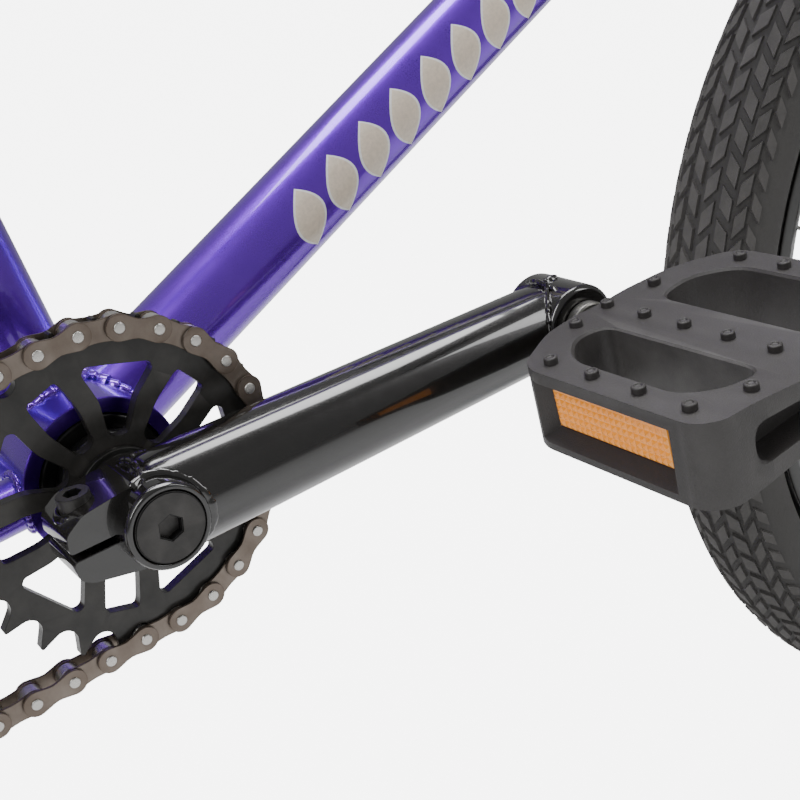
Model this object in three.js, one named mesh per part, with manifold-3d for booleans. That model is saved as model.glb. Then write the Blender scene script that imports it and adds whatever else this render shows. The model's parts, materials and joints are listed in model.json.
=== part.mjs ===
// A 20 inch BMX bike as separate rigid pieces, in millimetres.
// +X is forwards, +Z is up, the drive side is at -Y and the ground is Z = 0.
import * as THREE from "three";
import { mergeVertices } from "three/addons/utils/BufferGeometryUtils.js";
import Module from "manifold-3d";

const wasm = await Module();
wasm.setup();

// ---- driving dimensions -------------------------------------------------
const GAP = 0.3;                   // clearance kept between neighbouring pieces
const ORIGIN_X = -97.1;            // bottom bracket, measured from the middle of the bike's length
const BB_HEIGHT = 300;
const TYRE_RADIUS = 254;
const TYRE_WIDTH = 50;
const BEAD_RADIUS = 206;
const RIM_INNER_RADIUS = 189;
const REAR_CENTRE = 343.8;
const FRONT_CENTRE = 538;
const HEAD_ANGLE = rad(74.5);
const SEAT_ANGLE = rad(75);
const FORK_OFFSET = 30;
const CHAIN_PITCH = 12.7;
const SPROCKET_TEETH = 25;
const COG_TEETH = 9;
const CHAIN_LINE = -43.5;          // Y of the middle of the chain
const CRANK_LENGTH = 158;
const CRANK_ANGLE = rad(7.2);      // drive side arm above the forward horizontal
const SPROCKET_PHASE = rad(109.8); // angle of one tooth gap that holds a chain pin
const PEDAL_TILT = rad(9.7);       // rear edge of the pedal dips
const BAR_RADIUS = 11.1;
const BAR_RISE = 205;
const BAR_HALF_WIDTH = 355;
const POST_RADIUS = 12.6;

// ---- named places, relative to the bottom bracket ------------------------
const AXLE_DROP = TYRE_RADIUS - BB_HEIGHT;
const rearAxle = vec(-REAR_CENTRE, 0, AXLE_DROP);
const frontAxle = vec(FRONT_CENTRE, 0, AXLE_DROP);
const steerUp = vec(-Math.cos(HEAD_ANGLE), 0, Math.sin(HEAD_ANGLE));
const steerForward = vec(Math.sin(HEAD_ANGLE), 0, Math.cos(HEAD_ANGLE));
const steerBase = frontAxle.clone().addScaledVector(steerForward, -FORK_OFFSET);
const seatUp = vec(-Math.cos(SEAT_ANGLE), 0, Math.sin(SEAT_ANGLE));
const Y = vec(0, 1, 0);
const pitchRadius = (teeth) => CHAIN_PITCH / (2 * Math.sin(Math.PI / teeth));

// ---- materials -----------------------------------------------------------
const paint = material("#4a1fa8", 0.25, 0.4);
const black = material("#141416", 0.25, 0.5);
const satin = material("#201f1e", 0.45, 0.5);
const steel = material("#8c8c8c", 0.35, 0.9);
const chainSteel = material("#7a6450", 0.4, 0.8);
const rubber = material("#2b2b2c", 0.85, 0);
const plastic = material("#3c3b3a", 0.6, 0);
const amber = material("#f08a1c", 0.3, 0);

// ---- small helpers -------------------------------------------------------
function rad(degrees) {
  return degrees * Math.PI / 180;
}

function vec(x, y, z) {
  return new THREE.Vector3(x, y, z);
}

function material(color, roughness, metalness) {
  return new THREE.MeshStandardMaterial({ color, roughness, metalness });
}

// A closed three.js geometry as a manifold solid.
function solid(geometry) {
  const bare = geometry.clone();
  bare.deleteAttribute("normal");
  bare.deleteAttribute("uv");
  const merged = mergeVertices(bare, 1e-4);
  const mesh = new wasm.Mesh({
    numProp: 3,
    vertProperties: Float32Array.from(merged.attributes.position.array),
    triVerts: Uint32Array.from(merged.index.array),
  });
  return new wasm.Manifold(mesh);
}

function union(list) {
  return list.reduce((sum, item) => sum.add(item));
}

function cut(body, list) {
  return list.reduce((left, item) => left.subtract(item), body);
}

// The matrix that takes local +Z to `direction` and the origin to `at`.
function frameAt(at, direction) {
  const turn = new THREE.Quaternion().setFromUnitVectors(vec(0, 0, 1), direction.clone().normalize());
  return new THREE.Matrix4().compose(at, turn, vec(1, 1, 1));
}

// A cylinder or cone from a to b.
function rod(a, b, radius, endRadius = radius, sides = 12) {
  const length = a.distanceTo(b);
  const shape = new THREE.CylinderGeometry(endRadius, radius, length, sides);
  shape.rotateX(Math.PI / 2);
  shape.applyMatrix4(frameAt(a.clone().lerp(b, 0.5), b.clone().sub(a)));
  return solid(shape);
}

// A lathe about the line through `at`; each point is [radius, distance along the line].
function lathe(points, at, direction, sides = 20) {
  const shape = new THREE.LatheGeometry(points.map(([r, h]) => new THREE.Vector2(r, h)), sides);
  shape.rotateX(Math.PI / 2);
  shape.applyMatrix4(frameAt(at, direction));
  const body = solid(shape);
  return body.volume() < 0 ? solid(flipped(shape)) : body;
}

function flipped(geometry) {
  const index = Array.from(geometry.index.array);
  for (let i = 0; i < index.length; i += 3) {
    [index[i], index[i + 1]] = [index[i + 1], index[i]];
  }
  geometry.setIndex(index);
  return geometry;
}

// A ring with a rectangular section about the line through `at`.
function ring(inner, outer, from, to, at, direction, sides = 20) {
  const section = [[inner, from], [outer, from], [outer, to], [inner, to], [inner, from]];
  return lathe(section, at, direction, sides);
}

// Tapered rods joined by balls along a bent line.
function bentRod(points, radii, sides = 8) {
  const parts = [];
  for (let i = 0; i + 1 < points.length; i += 1) {
    parts.push(rod(points[i], points[i + 1], radii[i], radii[i + 1], sides));
    if (i > 0) {
      const ball = new THREE.SphereGeometry(radii[i] * 1.01, sides, 4);
      ball.translate(points[i].x, points[i].y, points[i].z);
      parts.push(solid(ball));
    }
  }
  return union(parts);
}

// A flat outline in the XZ plane given a thickness along Y, with holes cut right through.
function plateXZ(outline, holes, fromY, toY, curveSegments = 8) {
  const slab = (shape, from, to) => {
    const body = new THREE.ExtrudeGeometry(shape, {
      depth: to - from, bevelEnabled: false, curveSegments, steps: 1,
    });
    body.rotateX(Math.PI / 2);     // the outline's Y becomes Z, the depth runs towards -Y
    body.translate(0, to, 0);
    return solid(body);
  };
  const plate = outline instanceof THREE.Shape ? outline : new THREE.Shape(outline);
  const cutters = holes.map((hole) => (
    slab(new THREE.Shape(hole.getPoints(curveSegments)), fromY - 1, toY + 1)
  ));
  return cut(slab(plate, fromY, toY), cutters);
}

function box(sizeX, sizeY, sizeZ, at, tilt = 0) {
  const body = new THREE.BoxGeometry(sizeX, sizeY, sizeZ);
  body.rotateY(-tilt);
  body.translate(at.x, at.y, at.z);
  return solid(body);
}

function circlePath(x, z, radius) {
  const path = new THREE.Path();
  path.absarc(x, z, radius, 0, 2 * Math.PI, true);
  return path;
}

function mirrored(body) {
  return body.mirror([0, 1, 0]);
}

// ---- scene graph ---------------------------------------------------------
const bike = new THREE.Group();
bike.name = "bmx_bike";
bike.position.set(ORIGIN_X, 0, BB_HEIGHT);
const groups = {};

function add(groupName, name, body, look) {
  if (!groups[groupName]) {
    groups[groupName] = new THREE.Group();
    groups[groupName].name = groupName;
    bike.add(groups[groupName]);
  }
  const { vertProperties, triVerts, numProp } = body.getMesh();
  const positions = new Float32Array(triVerts.length * 3);
  triVerts.forEach((v, i) => {
    for (let k = 0; k < 3; k += 1) {
      positions[3 * i + k] = vertProperties[v * numProp + k];
    }
  });
  const geometry = new THREE.BufferGeometry();
  geometry.setAttribute("position", new THREE.BufferAttribute(positions, 3));
  geometry.computeVertexNormals();
  const mesh = new THREE.Mesh(geometry, look);
  mesh.name = name;
  groups[groupName].add(mesh);
}

// ---- frame ---------------------------------------------------------------
const SHELL_RADIUS = 26.3;
const SHELL_HALF = 34;
const DOWN_RADIUS = 16;
const SEAT_RADIUS = 14.3;
const HEAD_FROM = 308;
const HEAD_TO = 420;
const steerAt = (s) => steerBase.clone().addScaledVector(steerUp, s);
const seatAt = (s) => seatUp.clone().multiplyScalar(s);

const shellCutter = rod(vec(0, -60, 0), vec(0, 60, 0), SHELL_RADIUS + 0.6, SHELL_RADIUS + 0.6, 24);
const headCutter = rod(steerAt(HEAD_FROM - 20), steerAt(HEAD_TO + 20), 20.6, 20.6, 20);
const flareCutter = rod(steerAt(HEAD_FROM - 20), steerAt(HEAD_FROM + 14), 24.2, 24.2, 20);
const seatCutter = rod(seatAt(0), seatAt(300), SEAT_RADIUS + 0.7, SEAT_RADIUS + 0.7, 16);

add("frame", "bb_shell", ring(21.3, SHELL_RADIUS, -SHELL_HALF, SHELL_HALF, vec(0, 0, 0), Y, 24), paint);
for (const [side, name] of [[-1, "right"], [1, "left"]]) {
  const bearing = ring(9.8, 21, SHELL_HALF - 9, SHELL_HALF, vec(0, 0, 0), vec(0, side, 0), 20);
  add("frame", `bb_bearing_${name}`, bearing, black);
}

const headProfile = [
  [21, 0], [23.5, 0], [23.5, 9], [20, 13], [20, 100], [23.5, 104], [23.5, 112],
  [21, 112], [21, 103], [17, 100], [17, 12], [21, 9], [21, 0],
];
add("frame", "head_tube", lathe(headProfile, steerAt(HEAD_FROM), steerUp, 20), paint);
[["lower", HEAD_FROM + 0.3], ["upper", HEAD_TO - 8.3]].forEach(([name, s]) => {
  add("frame", `headset_bearing_${name}`, ring(14.6, 20.7, 0, 8, steerAt(s), steerUp, 16), steel);
});

const downTube = rod(vec(0, 0, 0), steerAt(335.4), DOWN_RADIUS, DOWN_RADIUS, 16);
add("frame", "down_tube", cut(downTube, [shellCutter, headCutter, flareCutter, halfSpaceBeyondHead()]), paint);
const topTube = rod(seatAt(192), steerAt(395), 14.3, 14.3, 16);
add("frame", "top_tube", cut(topTube, [seatCutter, headCutter, halfSpaceBeyondHead(), behindSeatTube()]), paint);
const seatTube = rod(seatAt(0), seatAt(222), SEAT_RADIUS, SEAT_RADIUS, 16);
const postBore = rod(seatAt(60), seatAt(240), POST_RADIUS + 0.4, POST_RADIUS + 0.4, 16);
add("frame", "seat_tube", cut(seatTube, [shellCutter, postBore]), paint);

// Blocks that take away what a coping cutter leaves on the far side of a tube.
function halfSpaceBeyondHead() {
  const at = steerAt(370).addScaledVector(steerForward, 60);
  return box(120, 90, 300, at, Math.PI / 2 - HEAD_ANGLE);
}

function behindSeatTube() {
  const at = seatAt(200).add(vec(-60, 0, 0));
  return box(120, 90, 160, at, Math.PI / 2 - SEAT_ANGLE);
}

const clampRing = ring(SEAT_RADIUS + GAP, 19, 0, 14, seatAt(208.5), seatUp, 16);
const clampEars = box(16, 14, 13.6, seatAt(215.5).add(vec(-24, 0, 0)), Math.PI / 2 - SEAT_ANGLE);
const clampSlot = box(30, 2.4, 40, seatAt(215.5).add(vec(-28, 0, 0)), Math.PI / 2 - SEAT_ANGLE);
const clampBore = rod(seatAt(190), seatAt(240), SEAT_RADIUS + GAP, SEAT_RADIUS + GAP, 16);
add("frame", "seat_clamp", cut(clampRing.add(clampEars), [clampSlot, clampBore]), black);

const DROPOUT_IN = 55.3;
const DROPOUT_OUT = 61.3;
const STAY_END = 58.3;
const dropoutPlate = new THREE.Shape();
dropoutPlate.moveTo(rearAxle.x - 16, rearAxle.z - 13);
dropoutPlate.lineTo(rearAxle.x + 18, rearAxle.z - 14);
dropoutPlate.lineTo(rearAxle.x + 34, rearAxle.z - 7);
dropoutPlate.lineTo(rearAxle.x + 34, rearAxle.z + 11);
dropoutPlate.lineTo(rearAxle.x + 25, rearAxle.z + 28);
dropoutPlate.lineTo(rearAxle.x + 11, rearAxle.z + 33);
dropoutPlate.lineTo(rearAxle.x - 16, rearAxle.z + 13);
const axleHole = circlePath(rearAxle.x, rearAxle.z, 7.3);
const dropout = plateXZ(dropoutPlate, [axleHole], -DROPOUT_OUT, -DROPOUT_IN, 10);
const chainstay = bentRod([
  vec(0, -22, 0),
  vec(-76, -31.6, -8),
  vec(-132, -42.5, -14),
  vec(rearAxle.x + 34.4, -STAY_END, rearAxle.z + 2),
], [8.5, 8.5, 8, 7]);
const stayCutter = cutPlane(rearAxle.x + 34.3);
const seatstayTop = seatAt(166);
const seatstay = bentRod([
  vec(seatstayTop.x, -9, seatstayTop.z),
  vec(seatstayTop.x - 66, -37, seatstayTop.z - 42),
  vec(rearAxle.x + 17.6, -STAY_END, rearAxle.z + 34.5),
], [7.5, 7.5, 6.5]);

function cutPlane(x) {
  return box(60, 60, 60, vec(x - 30, -STAY_END, rearAxle.z));
}

const frontOfStays = box(80, 60, 90, vec(seatstayTop.x + 40, 0, seatstayTop.z));
const dropoutCutter = plateXZ(grown(dropoutPlate, 0.4), [], -DROPOUT_OUT - 8, -DROPOUT_IN + 8);
const chainstayCut = cut(chainstay, [shellCutter, seatCutter, stayCutter, dropoutCutter]);
const seatstayCut = cut(seatstay, [seatCutter, frontOfStays, dropoutCutter]);

// The plate's outline pushed outwards about the axle, used only to trim the stays.
function grown(shape, by) {
  const centre = new THREE.Vector2(rearAxle.x, rearAxle.z);
  return shape.getPoints(4).map((p) => {
    const away = p.clone().sub(centre);
    return p.clone().add(away.normalize().multiplyScalar(by));
  });
}

for (const [name, flip] of [["right", (b) => b], ["left", mirrored]]) {
  add("frame", `dropout_${name}`, flip(dropout), paint);
  add("frame", `chainstay_${name}`, flip(chainstayCut), paint);
  add("frame", `seatstay_${name}`, flip(seatstayCut), paint);
}

add("frame", "rear_axle", rod(vec(rearAxle.x, -80, rearAxle.z), vec(rearAxle.x, 80, rearAxle.z), 6.8), steel);
for (const [side, name] of [[-1, "right"], [1, "left"]]) {
  const nut = rod(
    vec(rearAxle.x, side * (DROPOUT_OUT + GAP), rearAxle.z), vec(rearAxle.x, side * 73, rearAxle.z), 11, 11, 6,
  );
  const bore = rod(vec(rearAxle.x, side * 55, rearAxle.z), vec(rearAxle.x, side * 85, rearAxle.z), 7.1);
  add("frame", `rear_nut_${name}`, nut.subtract(bore), steel);
}

// ---- chain ---------------------------------------------------------------
// Two plate bands run round the loop on either side of the teeth; rollers join
// them on the straight runs only, where no tooth passes.
const sprocketPitch = pitchRadius(SPROCKET_TEETH);
const cogPitch = pitchRadius(COG_TEETH);
const centreLine = rearAxle.length();
const rearward = Math.atan2(rearAxle.z, rearAxle.x);
const wrapHalf = Math.PI / 2 + Math.asin((sprocketPitch - cogPitch) / centreLine);

function loopOutline(offset) {
  const outline = new THREE.Shape();
  const forward = rearward + Math.PI;
  outline.absarc(0, 0, sprocketPitch + offset, forward - wrapHalf, forward + wrapHalf, false);
  outline.absarc(
    rearAxle.x, rearAxle.z, cogPitch + offset, forward + wrapHalf, forward - wrapHalf + 2 * Math.PI, false,
  );
  return outline;
}

function loopHole(offset) {
  const path = new THREE.Path(loopOutline(offset).getPoints(12));
  path.autoClose = true;
  return path;
}

const outerLoop = new THREE.Shape(loopOutline(4.2).getPoints(12));
const bands = [[-4.4, -2.4], [2.4, 4.4]].map(([from, to]) => (
  plateXZ(outerLoop, [loopHole(-4.2)], CHAIN_LINE + from, CHAIN_LINE + to)
));
const rollers = [];
for (const side of [-1, 1]) {
  const normal = rearward + Math.PI + side * wrapHalf;
  const from = vec(sprocketPitch * Math.cos(normal), CHAIN_LINE, sprocketPitch * Math.sin(normal));
  const to = vec(
    rearAxle.x + cogPitch * Math.cos(normal), CHAIN_LINE, rearAxle.z + cogPitch * Math.sin(normal),
  );
  const count = 8;
  for (let i = 1; i <= count; i += 1) {
    const at = from.clone().lerp(to, i / (count + 1));
    const half = vec(0, 3, 0);
    rollers.push(rod(at.clone().sub(half), at.clone().add(half), 3.8, 3.8, 6));
  }
}
add("frame", "chain", union([...bands, ...rollers]), chainSteel);

// ---- crank set -----------------------------------------------------------
const armAlong = vec(Math.cos(CRANK_ANGLE), 0, Math.sin(CRANK_ANGLE));
const armAcross = vec(-Math.sin(CRANK_ANGLE), 0, Math.cos(CRANK_ANGLE));
const armPoint = (along, y, across = 0) => (
  armAlong.clone().multiplyScalar(along).addScaledVector(armAcross, across).setY(y)
);
const BOSS_IN = -49.2;
const BOSS_OUT = -82.5;
const PEDAL_BOSS_IN = -56;
const PEDAL_BOSS_OUT = -82;

const spindle = lathe([
  [0, -78.6], [9.5, -78.6], [9.5, -48.8], [14, -48.8], [14, -46.3], [9.5, -46.3], [9.5, -40.8], [13, -40.8],
  [13, -34.4], [9.5, -34.4], [9.5, 34.4], [13, 34.4], [13, 48.8], [9.5, 48.8], [9.5, 78.6], [0, 78.6],
], vec(0, 0, 0), Y, 16);
add("crank", "spindle", spindle, satin);

function crankArm() {
  const boss = rod(armPoint(0, BOSS_IN), armPoint(0, BOSS_OUT), 13.4, 13.4, 20);
  const tube = rod(armPoint(0, -66), armPoint(CRANK_LENGTH, -67.5), 16.3, 14.1, 16);
  const pedalBoss = rod(armPoint(CRANK_LENGTH, PEDAL_BOSS_IN), armPoint(CRANK_LENGTH, PEDAL_BOSS_OUT), 14, 14, 16);
  const ears = box(28, 22, 22, armPoint(-14, -64), CRANK_ANGLE);
  const pastBoss = rod(armPoint(0, BOSS_IN - 10), armPoint(0, BOSS_OUT - 10), 60, 60, 4);
  const tubeStart = rod(armPoint(0, -40), armPoint(0, -95), 11.5, 11.5, 16);
  const spindleBore = rod(armPoint(0, -40), armPoint(0, -95), 9.8, 9.8, 16);
  const counterBore = rod(armPoint(0, -79), armPoint(0, -95), 11.05, 11.05, 16);
  const slot = box(30, 34, 2.6, armPoint(-24.8, -66), CRANK_ANGLE);
  const pinchBore = rod(armPoint(-19.5, -64, 20), armPoint(-19.5, -64, -20), 3.4, 3.4, 8);
  const pinchSeat = rod(armPoint(-19.5, -64, 20), armPoint(-19.5, -64, 5.5), 5.6, 5.6, 12);
  const pedalBore = rod(armPoint(CRANK_LENGTH, -40), armPoint(CRANK_LENGTH, -95), 7.4, 7.4, 12);
  const solidArm = union([boss, tube.subtract(tubeStart), pedalBoss, ears.intersect(pastBoss)]);
  return cut(solidArm, [spindleBore, counterBore, slot, pinchBore, pinchSeat, pedalBore]);
}

const armRight = crankArm();
const toLeft = (body) => body.rotate([0, 180, 0]).mirror([0, 1, 0]);
const pinchBolt = union([
  rod(armPoint(-19.5, -64, 5.8), armPoint(-19.5, -64, 12.5), 5.2, 5.2, 12),
  rod(armPoint(-19.5, -64, 6), armPoint(-19.5, -64, -10.5), 3.1, 3.1, 8),
]).subtract(rod(armPoint(-19.5, -64, 9), armPoint(-19.5, -64, 14), 2.9, 2.9, 6));
const spindleBolt = lathe([
  [0, -79.3], [10.75, -79.3], [10.75, -82.2], [10.2, -82.9], [4, -82.9], [4, -80.6], [0, -80.6],
], vec(0, 0, 0), Y, 16);
const pedalAxle = lathe([
  [0, -59], [6.9, -59], [6.9, -82.3], [9, -82.3], [9, -86.6], [5, -86.6], [5, -172], [0, -172],
], armPoint(CRANK_LENGTH, 0), Y, 12);
for (const [name, place] of [["right", (b) => b], ["left", toLeft]]) {
  add("crank", `crank_arm_${name}`, place(armRight), black);
  add("crank", `spindle_bolt_${name}`, place(spindleBolt), satin);
  add("crank", `pinch_bolt_${name}`, place(pinchBolt), satin);
  add("crank", `pedal_axle_${name}`, place(pedalAxle), steel);
}

// ---- sprocket and cog ----------------------------------------------------
// Each tooth gap is a round seat for a roller; each tip is a short flat.
function toothedOutline(teeth, phase) {
  const pitch = pitchRadius(teeth);
  const step = 2 * Math.PI / teeth;
  const seatRadius = 4.2;
  const tip = pitch + 3.6;
  const points = [];
  for (let k = 0; k < teeth; k += 1) {
    const angle = phase + k * step;
    const gapX = pitch * Math.cos(angle);
    const gapZ = pitch * Math.sin(angle);
    for (const lean of [58, 0, -58]) {
      const inward = angle + Math.PI + rad(lean);
      points.push(new THREE.Vector2(gapX + seatRadius * Math.cos(inward), gapZ + seatRadius * Math.sin(inward)));
    }
    for (const half of [-0.06, 0.06]) {
      const at = angle + (0.5 + half) * step;
      points.push(new THREE.Vector2(tip * Math.cos(at), tip * Math.sin(at)));
    }
  }
  return points;
}

// One window between two spokes: its sides run in to a kink, then draw together towards the hub.
function spokeWindow(angle, rimHalf, kinkHalf) {
  const half = [[40.6, rimHalf * 0.82], [38, rimHalf], [29, kinkHalf], [18.5, 3.2], [17, 1.4]];
  const corner = ([radius, across], side) => {
    const [c, s] = [Math.cos(angle), Math.sin(angle)];
    const reach = Math.sqrt(radius * radius - across * across);
    return [reach * c - side * across * s, reach * s + side * across * c];
  };
  const path = new THREE.Path();
  path.moveTo(...corner(half[0], 1));
  half.slice(1).forEach((point) => path.lineTo(...corner(point, 1)));
  half.slice().reverse().forEach((point) => path.lineTo(...corner(point, -1)));
  return path;
}

const windows = [circlePath(0, 0, 9.8)];
for (let k = 0; k < 5; k += 1) {
  const wide = SPROCKET_PHASE - rad(28.8) + rad(72 * k);
  windows.push(spokeWindow(wide, 11.4, 5.8));
  windows.push(spokeWindow(wide + rad(36), 5.7, 5.6));
}
const sprocket = plateXZ(toothedOutline(SPROCKET_TEETH, SPROCKET_PHASE), windows, CHAIN_LINE - 2, CHAIN_LINE + 2, 10);
add("crank", "sprocket", sprocket, satin);

// The cog's phase puts a tooth gap where a chain pin lies.
const forwardAngle = rearward + Math.PI;
const upperLeave = forwardAngle + wrapHalf;
const pinPastLeave = (((SPROCKET_PHASE - upperLeave) * sprocketPitch) % CHAIN_PITCH + CHAIN_PITCH) % CHAIN_PITCH;
const straightRun = centreLine * Math.sin(wrapHalf);
const pinPastCog = CHAIN_PITCH - ((straightRun - pinPastLeave) % CHAIN_PITCH);
const cogPhase = upperLeave + pinPastCog / cogPitch;
const cogHole = circlePath(0, 0, 7.4);
const cogTeeth = plateXZ(toothedOutline(COG_TEETH, cogPhase), [cogHole], CHAIN_LINE - 1.4, CHAIN_LINE + 1.4, 10)
  .translate([rearAxle.x, 0, rearAxle.z]);
const cogBody = ring(7.4, 12.5, CHAIN_LINE - 5.5, CHAIN_LINE + 7.5, rearAxle, Y, 16);
add("driver", "driver_cog", cogTeeth.add(cogBody), steel);

// ---- pedals --------------------------------------------------------------
// Built flat about the axle, with u forwards and w outwards, then tilted.
const PEDAL_OUT = 184;
const PEDAL_HALF = 48;
const PEDAL_THICK = 27;
const POCKET_MIDDLE = 141;         // outward distance of the reflector pockets

function pedalOutline() {
  return [
    [-10, 92], [10, 92], [26, 97], [PEDAL_HALF - 3, 108], [PEDAL_HALF, 114], [PEDAL_HALF, 178],
    [PEDAL_HALF - 6, PEDAL_OUT], [-PEDAL_HALF + 6, PEDAL_OUT], [-PEDAL_HALF, 178], [-PEDAL_HALF, 114],
    [-PEDAL_HALF + 3, 108], [-26, 97],
  ].map(([u, w]) => new THREE.Vector2(u, w));
}

function pedalWindow(side) {
  const path = new THREE.Shape();
  path.moveTo(13, 109);
  path.lineTo(25, 109);
  path.lineTo(36, 121);
  path.lineTo(36, 164);
  path.lineTo(28, 170);
  path.lineTo(13, 170);
  const body = pedalSlab(path, PEDAL_THICK + 10);
  return side > 0 ? body : body.mirror([1, 0, 0]);
}

// An outline in u and w given a thickness about the axle, w running towards the drive side.
function pedalSlab(shape, thickness) {
  const flat = new THREE.ExtrudeGeometry(shape, { depth: thickness, bevelEnabled: false, steps: 1 });
  flat.translate(0, 0, -thickness / 2);
  return solid(flat).mirror([0, 1, 0]);
}

function pedalBody() {
  const body = pedalSlab(new THREE.Shape(pedalOutline()), PEDAL_THICK);
  const bore = rod(vec(0, -80, 0), vec(0, -174, 0), 5.4, 5.4, 16);
  const recesses = [-1, 1].map((side) => box(14, 50, 19, vec(side * PEDAL_HALF, -POCKET_MIDDLE, 0)));
  const outerOpening = box(56, 18, 13, vec(0, -PEDAL_OUT, 0));
  return cut(body, [bore, pedalWindow(1), pedalWindow(-1), ...recesses, outerOpening]);
}

function pedalReflector(side) {
  return box(2.6, 46, 15, vec(side * (PEDAL_HALF - 5.3), -POCKET_MIDDLE, 0));
}

const pedalCentre = armPoint(CRANK_LENGTH, 0);
const tiltPedal = (body) => (
  body.rotate([0, -PEDAL_TILT * 180 / Math.PI, 0]).translate([pedalCentre.x, 0, pedalCentre.z])
);
const pedalPieces = {
  pedal: [pedalBody(), plastic],
  pedal_reflector_rear: [pedalReflector(-1), amber],
  pedal_reflector_front: [pedalReflector(1), amber],
};
for (const [name, [body, look]] of Object.entries(pedalPieces)) {
  const right = tiltPedal(body);
  add("pedal_right", `${name}_right`, right, look);
  const left = mirrored(body).translate([-pedalCentre.x, 0, -pedalCentre.z]);
  add("pedal_left", `${name}_left`, left, look);
}

// ---- wheels --------------------------------------------------------------
const RIM_HALF = 15;
const tyreMiddle = (TYRE_RADIUS + BEAD_RADIUS) / 2;
const tyreProfile = [];
for (let k = 0; k <= 8; k += 1) {
  const angle = Math.PI * (k / 8);
  const reach = TYRE_RADIUS - tyreMiddle;
  tyreProfile.push([tyreMiddle + reach * Math.sin(angle), -(TYRE_WIDTH / 2) * Math.cos(angle)]);
}
tyreProfile.push([BEAD_RADIUS + 0.6, 14], [BEAD_RADIUS + 0.6, -14], tyreProfile[0]);
const rimProfile = [
  [RIM_INNER_RADIUS, -5], [BEAD_RADIUS - 6, -RIM_HALF], [BEAD_RADIUS, -RIM_HALF], [BEAD_RADIUS, RIM_HALF],
  [BEAD_RADIUS - 6, RIM_HALF], [RIM_INNER_RADIUS, 5], [RIM_INNER_RADIUS, -5],
];

function spokes(axle, flange, holeRadius) {
  const list = [];
  for (let k = 0; k < 36; k += 1) {
    const side = k % 2 === 0 ? 1 : -1;
    const pull = k % 4 < 2 ? 1 : -1;
    const atRim = rad(10 * k + 5);
    const atHub = atRim + pull * rad(58);
    const from = vec(
      axle.x + holeRadius * Math.cos(atHub), side * (flange + 1.5 * pull), axle.z + holeRadius * Math.sin(atHub),
    );
    const reach = RIM_INNER_RADIUS - 2;
    const to = vec(axle.x + reach * Math.cos(atRim), side * 3, axle.z + reach * Math.sin(atRim));
    list.push(rod(from, to, 1, 1, 3));
  }
  return list;
}

function hubShell(axle, half, bore, flange, shellRadius) {
  return lathe([
    [bore, -half[0]], [bore + 5, -half[0]], [shellRadius, -flange - 2], [21, -flange - 1.6], [21, -flange + 1.6],
    [shellRadius, -flange + 3], [shellRadius, flange - 3], [21, flange - 1.6], [21, flange + 1.6],
    [shellRadius, flange + 2], [bore + 5, half[1]], [bore, half[1]], [bore, -half[0]],
  ], axle, Y, 14);
}

function wheel(group, axle, half, bore, flange, shellRadius) {
  const hub = union([hubShell(axle, half, bore, flange, shellRadius), ...spokes(axle, flange, 18.5)]);
  add(group, `${group.replace("_wheel", "")}_hub`, hub, satin);
  add(group, `${group.replace("_wheel", "")}_rim`, lathe(rimProfile, axle, Y, 36), satin);
  add(group, `${group.replace("_wheel", "")}_tyre`, lathe(tyreProfile, axle, Y, 36), rubber);
}

wheel("rear_wheel", rearAxle, [35.4, 55], 7.2, 30, 14);
wheel("front_wheel", frontAxle, [50, 50], 5.1, 32, 12);

// ---- fork and steering ---------------------------------------------------
const CROWN = 296;
const STEERER_TOP = 458;
const steerer = rod(steerAt(CROWN - 8), steerAt(STEERER_TOP), 14.3, 14.3, 16);
const crownRace = lathe([
  [0, CROWN - 8], [19, CROWN - 8], [19, CROWN + 6], [22, HEAD_FROM - 2], [22, HEAD_FROM - GAP], [0, HEAD_FROM - GAP],
], steerBase, steerUp, 16);
add("steering", "fork_steerer", steerer.add(crownRace), black);

const legAt = (s, forwards, y) => steerAt(s).addScaledVector(steerForward, forwards).setY(y);
const leg = bentRod([
  legAt(CROWN - 8, 0, -14),
  legAt(CROWN - 28, 0, -46),
  legAt(150, 2, -52),
  frontAxle.clone().add(steerUp.clone().multiplyScalar(20)).setY(-54.5),
], [14.5, 14.5, 13.5, 10]);
const forkPlate = new THREE.Shape();
const forkDown = (s, forwards) => {
  const at = frontAxle.clone().addScaledVector(steerUp, s).addScaledVector(steerForward, forwards);
  return new THREE.Vector2(at.x, at.z);
};
[[26, -8], [26, 8], [0, 14], [-11, 10], [-15, 0], [-11, -10], [0, -14]].forEach(([s, f], i) => {
  const at = forkDown(s, f);
  if (i === 0) {
    forkPlate.moveTo(at.x, at.y);
  } else {
    forkPlate.lineTo(at.x, at.y);
  }
});
const forkTip = plateXZ(forkPlate, [circlePath(frontAxle.x, frontAxle.z, 5.1)], -56.6, -50.6, 8);
const crownCutter = rod(steerAt(CROWN - 60), steerAt(CROWN + 60), 19.8, 19.8, 16);
const aboveCrown = rod(steerAt(CROWN + 3), steerAt(CROWN + 60), 70, 70, 8);
const middleCutter = box(120, 40, 60, steerAt(CROWN - 10).setY(20), Math.PI / 2 - HEAD_ANGLE);
const innerFace = box(60, 40, 60, frontAxle.clone().setY(-30.4), 0);
const forkLeg = cut(leg, [crownCutter, aboveCrown, middleCutter, innerFace]).add(forkTip);
add("steering", "fork_leg_right", forkLeg, black);
add("steering", "fork_leg_left", mirrored(forkLeg), black);

const axleEnd = (y) => frontAxle.clone().setY(y);
add("steering", "front_axle", rod(axleEnd(-68), axleEnd(68), 4.8), steel);
for (const [side, name] of [[-1, "right"], [1, "left"]]) {
  const nut = rod(axleEnd(side * 56.9), axleEnd(side * 65.5), 8.6, 8.6, 6);
  add("steering", `front_nut_${name}`, nut.subtract(rod(axleEnd(side * 50), axleEnd(side * 80), 5.1)), steel);
}

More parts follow.
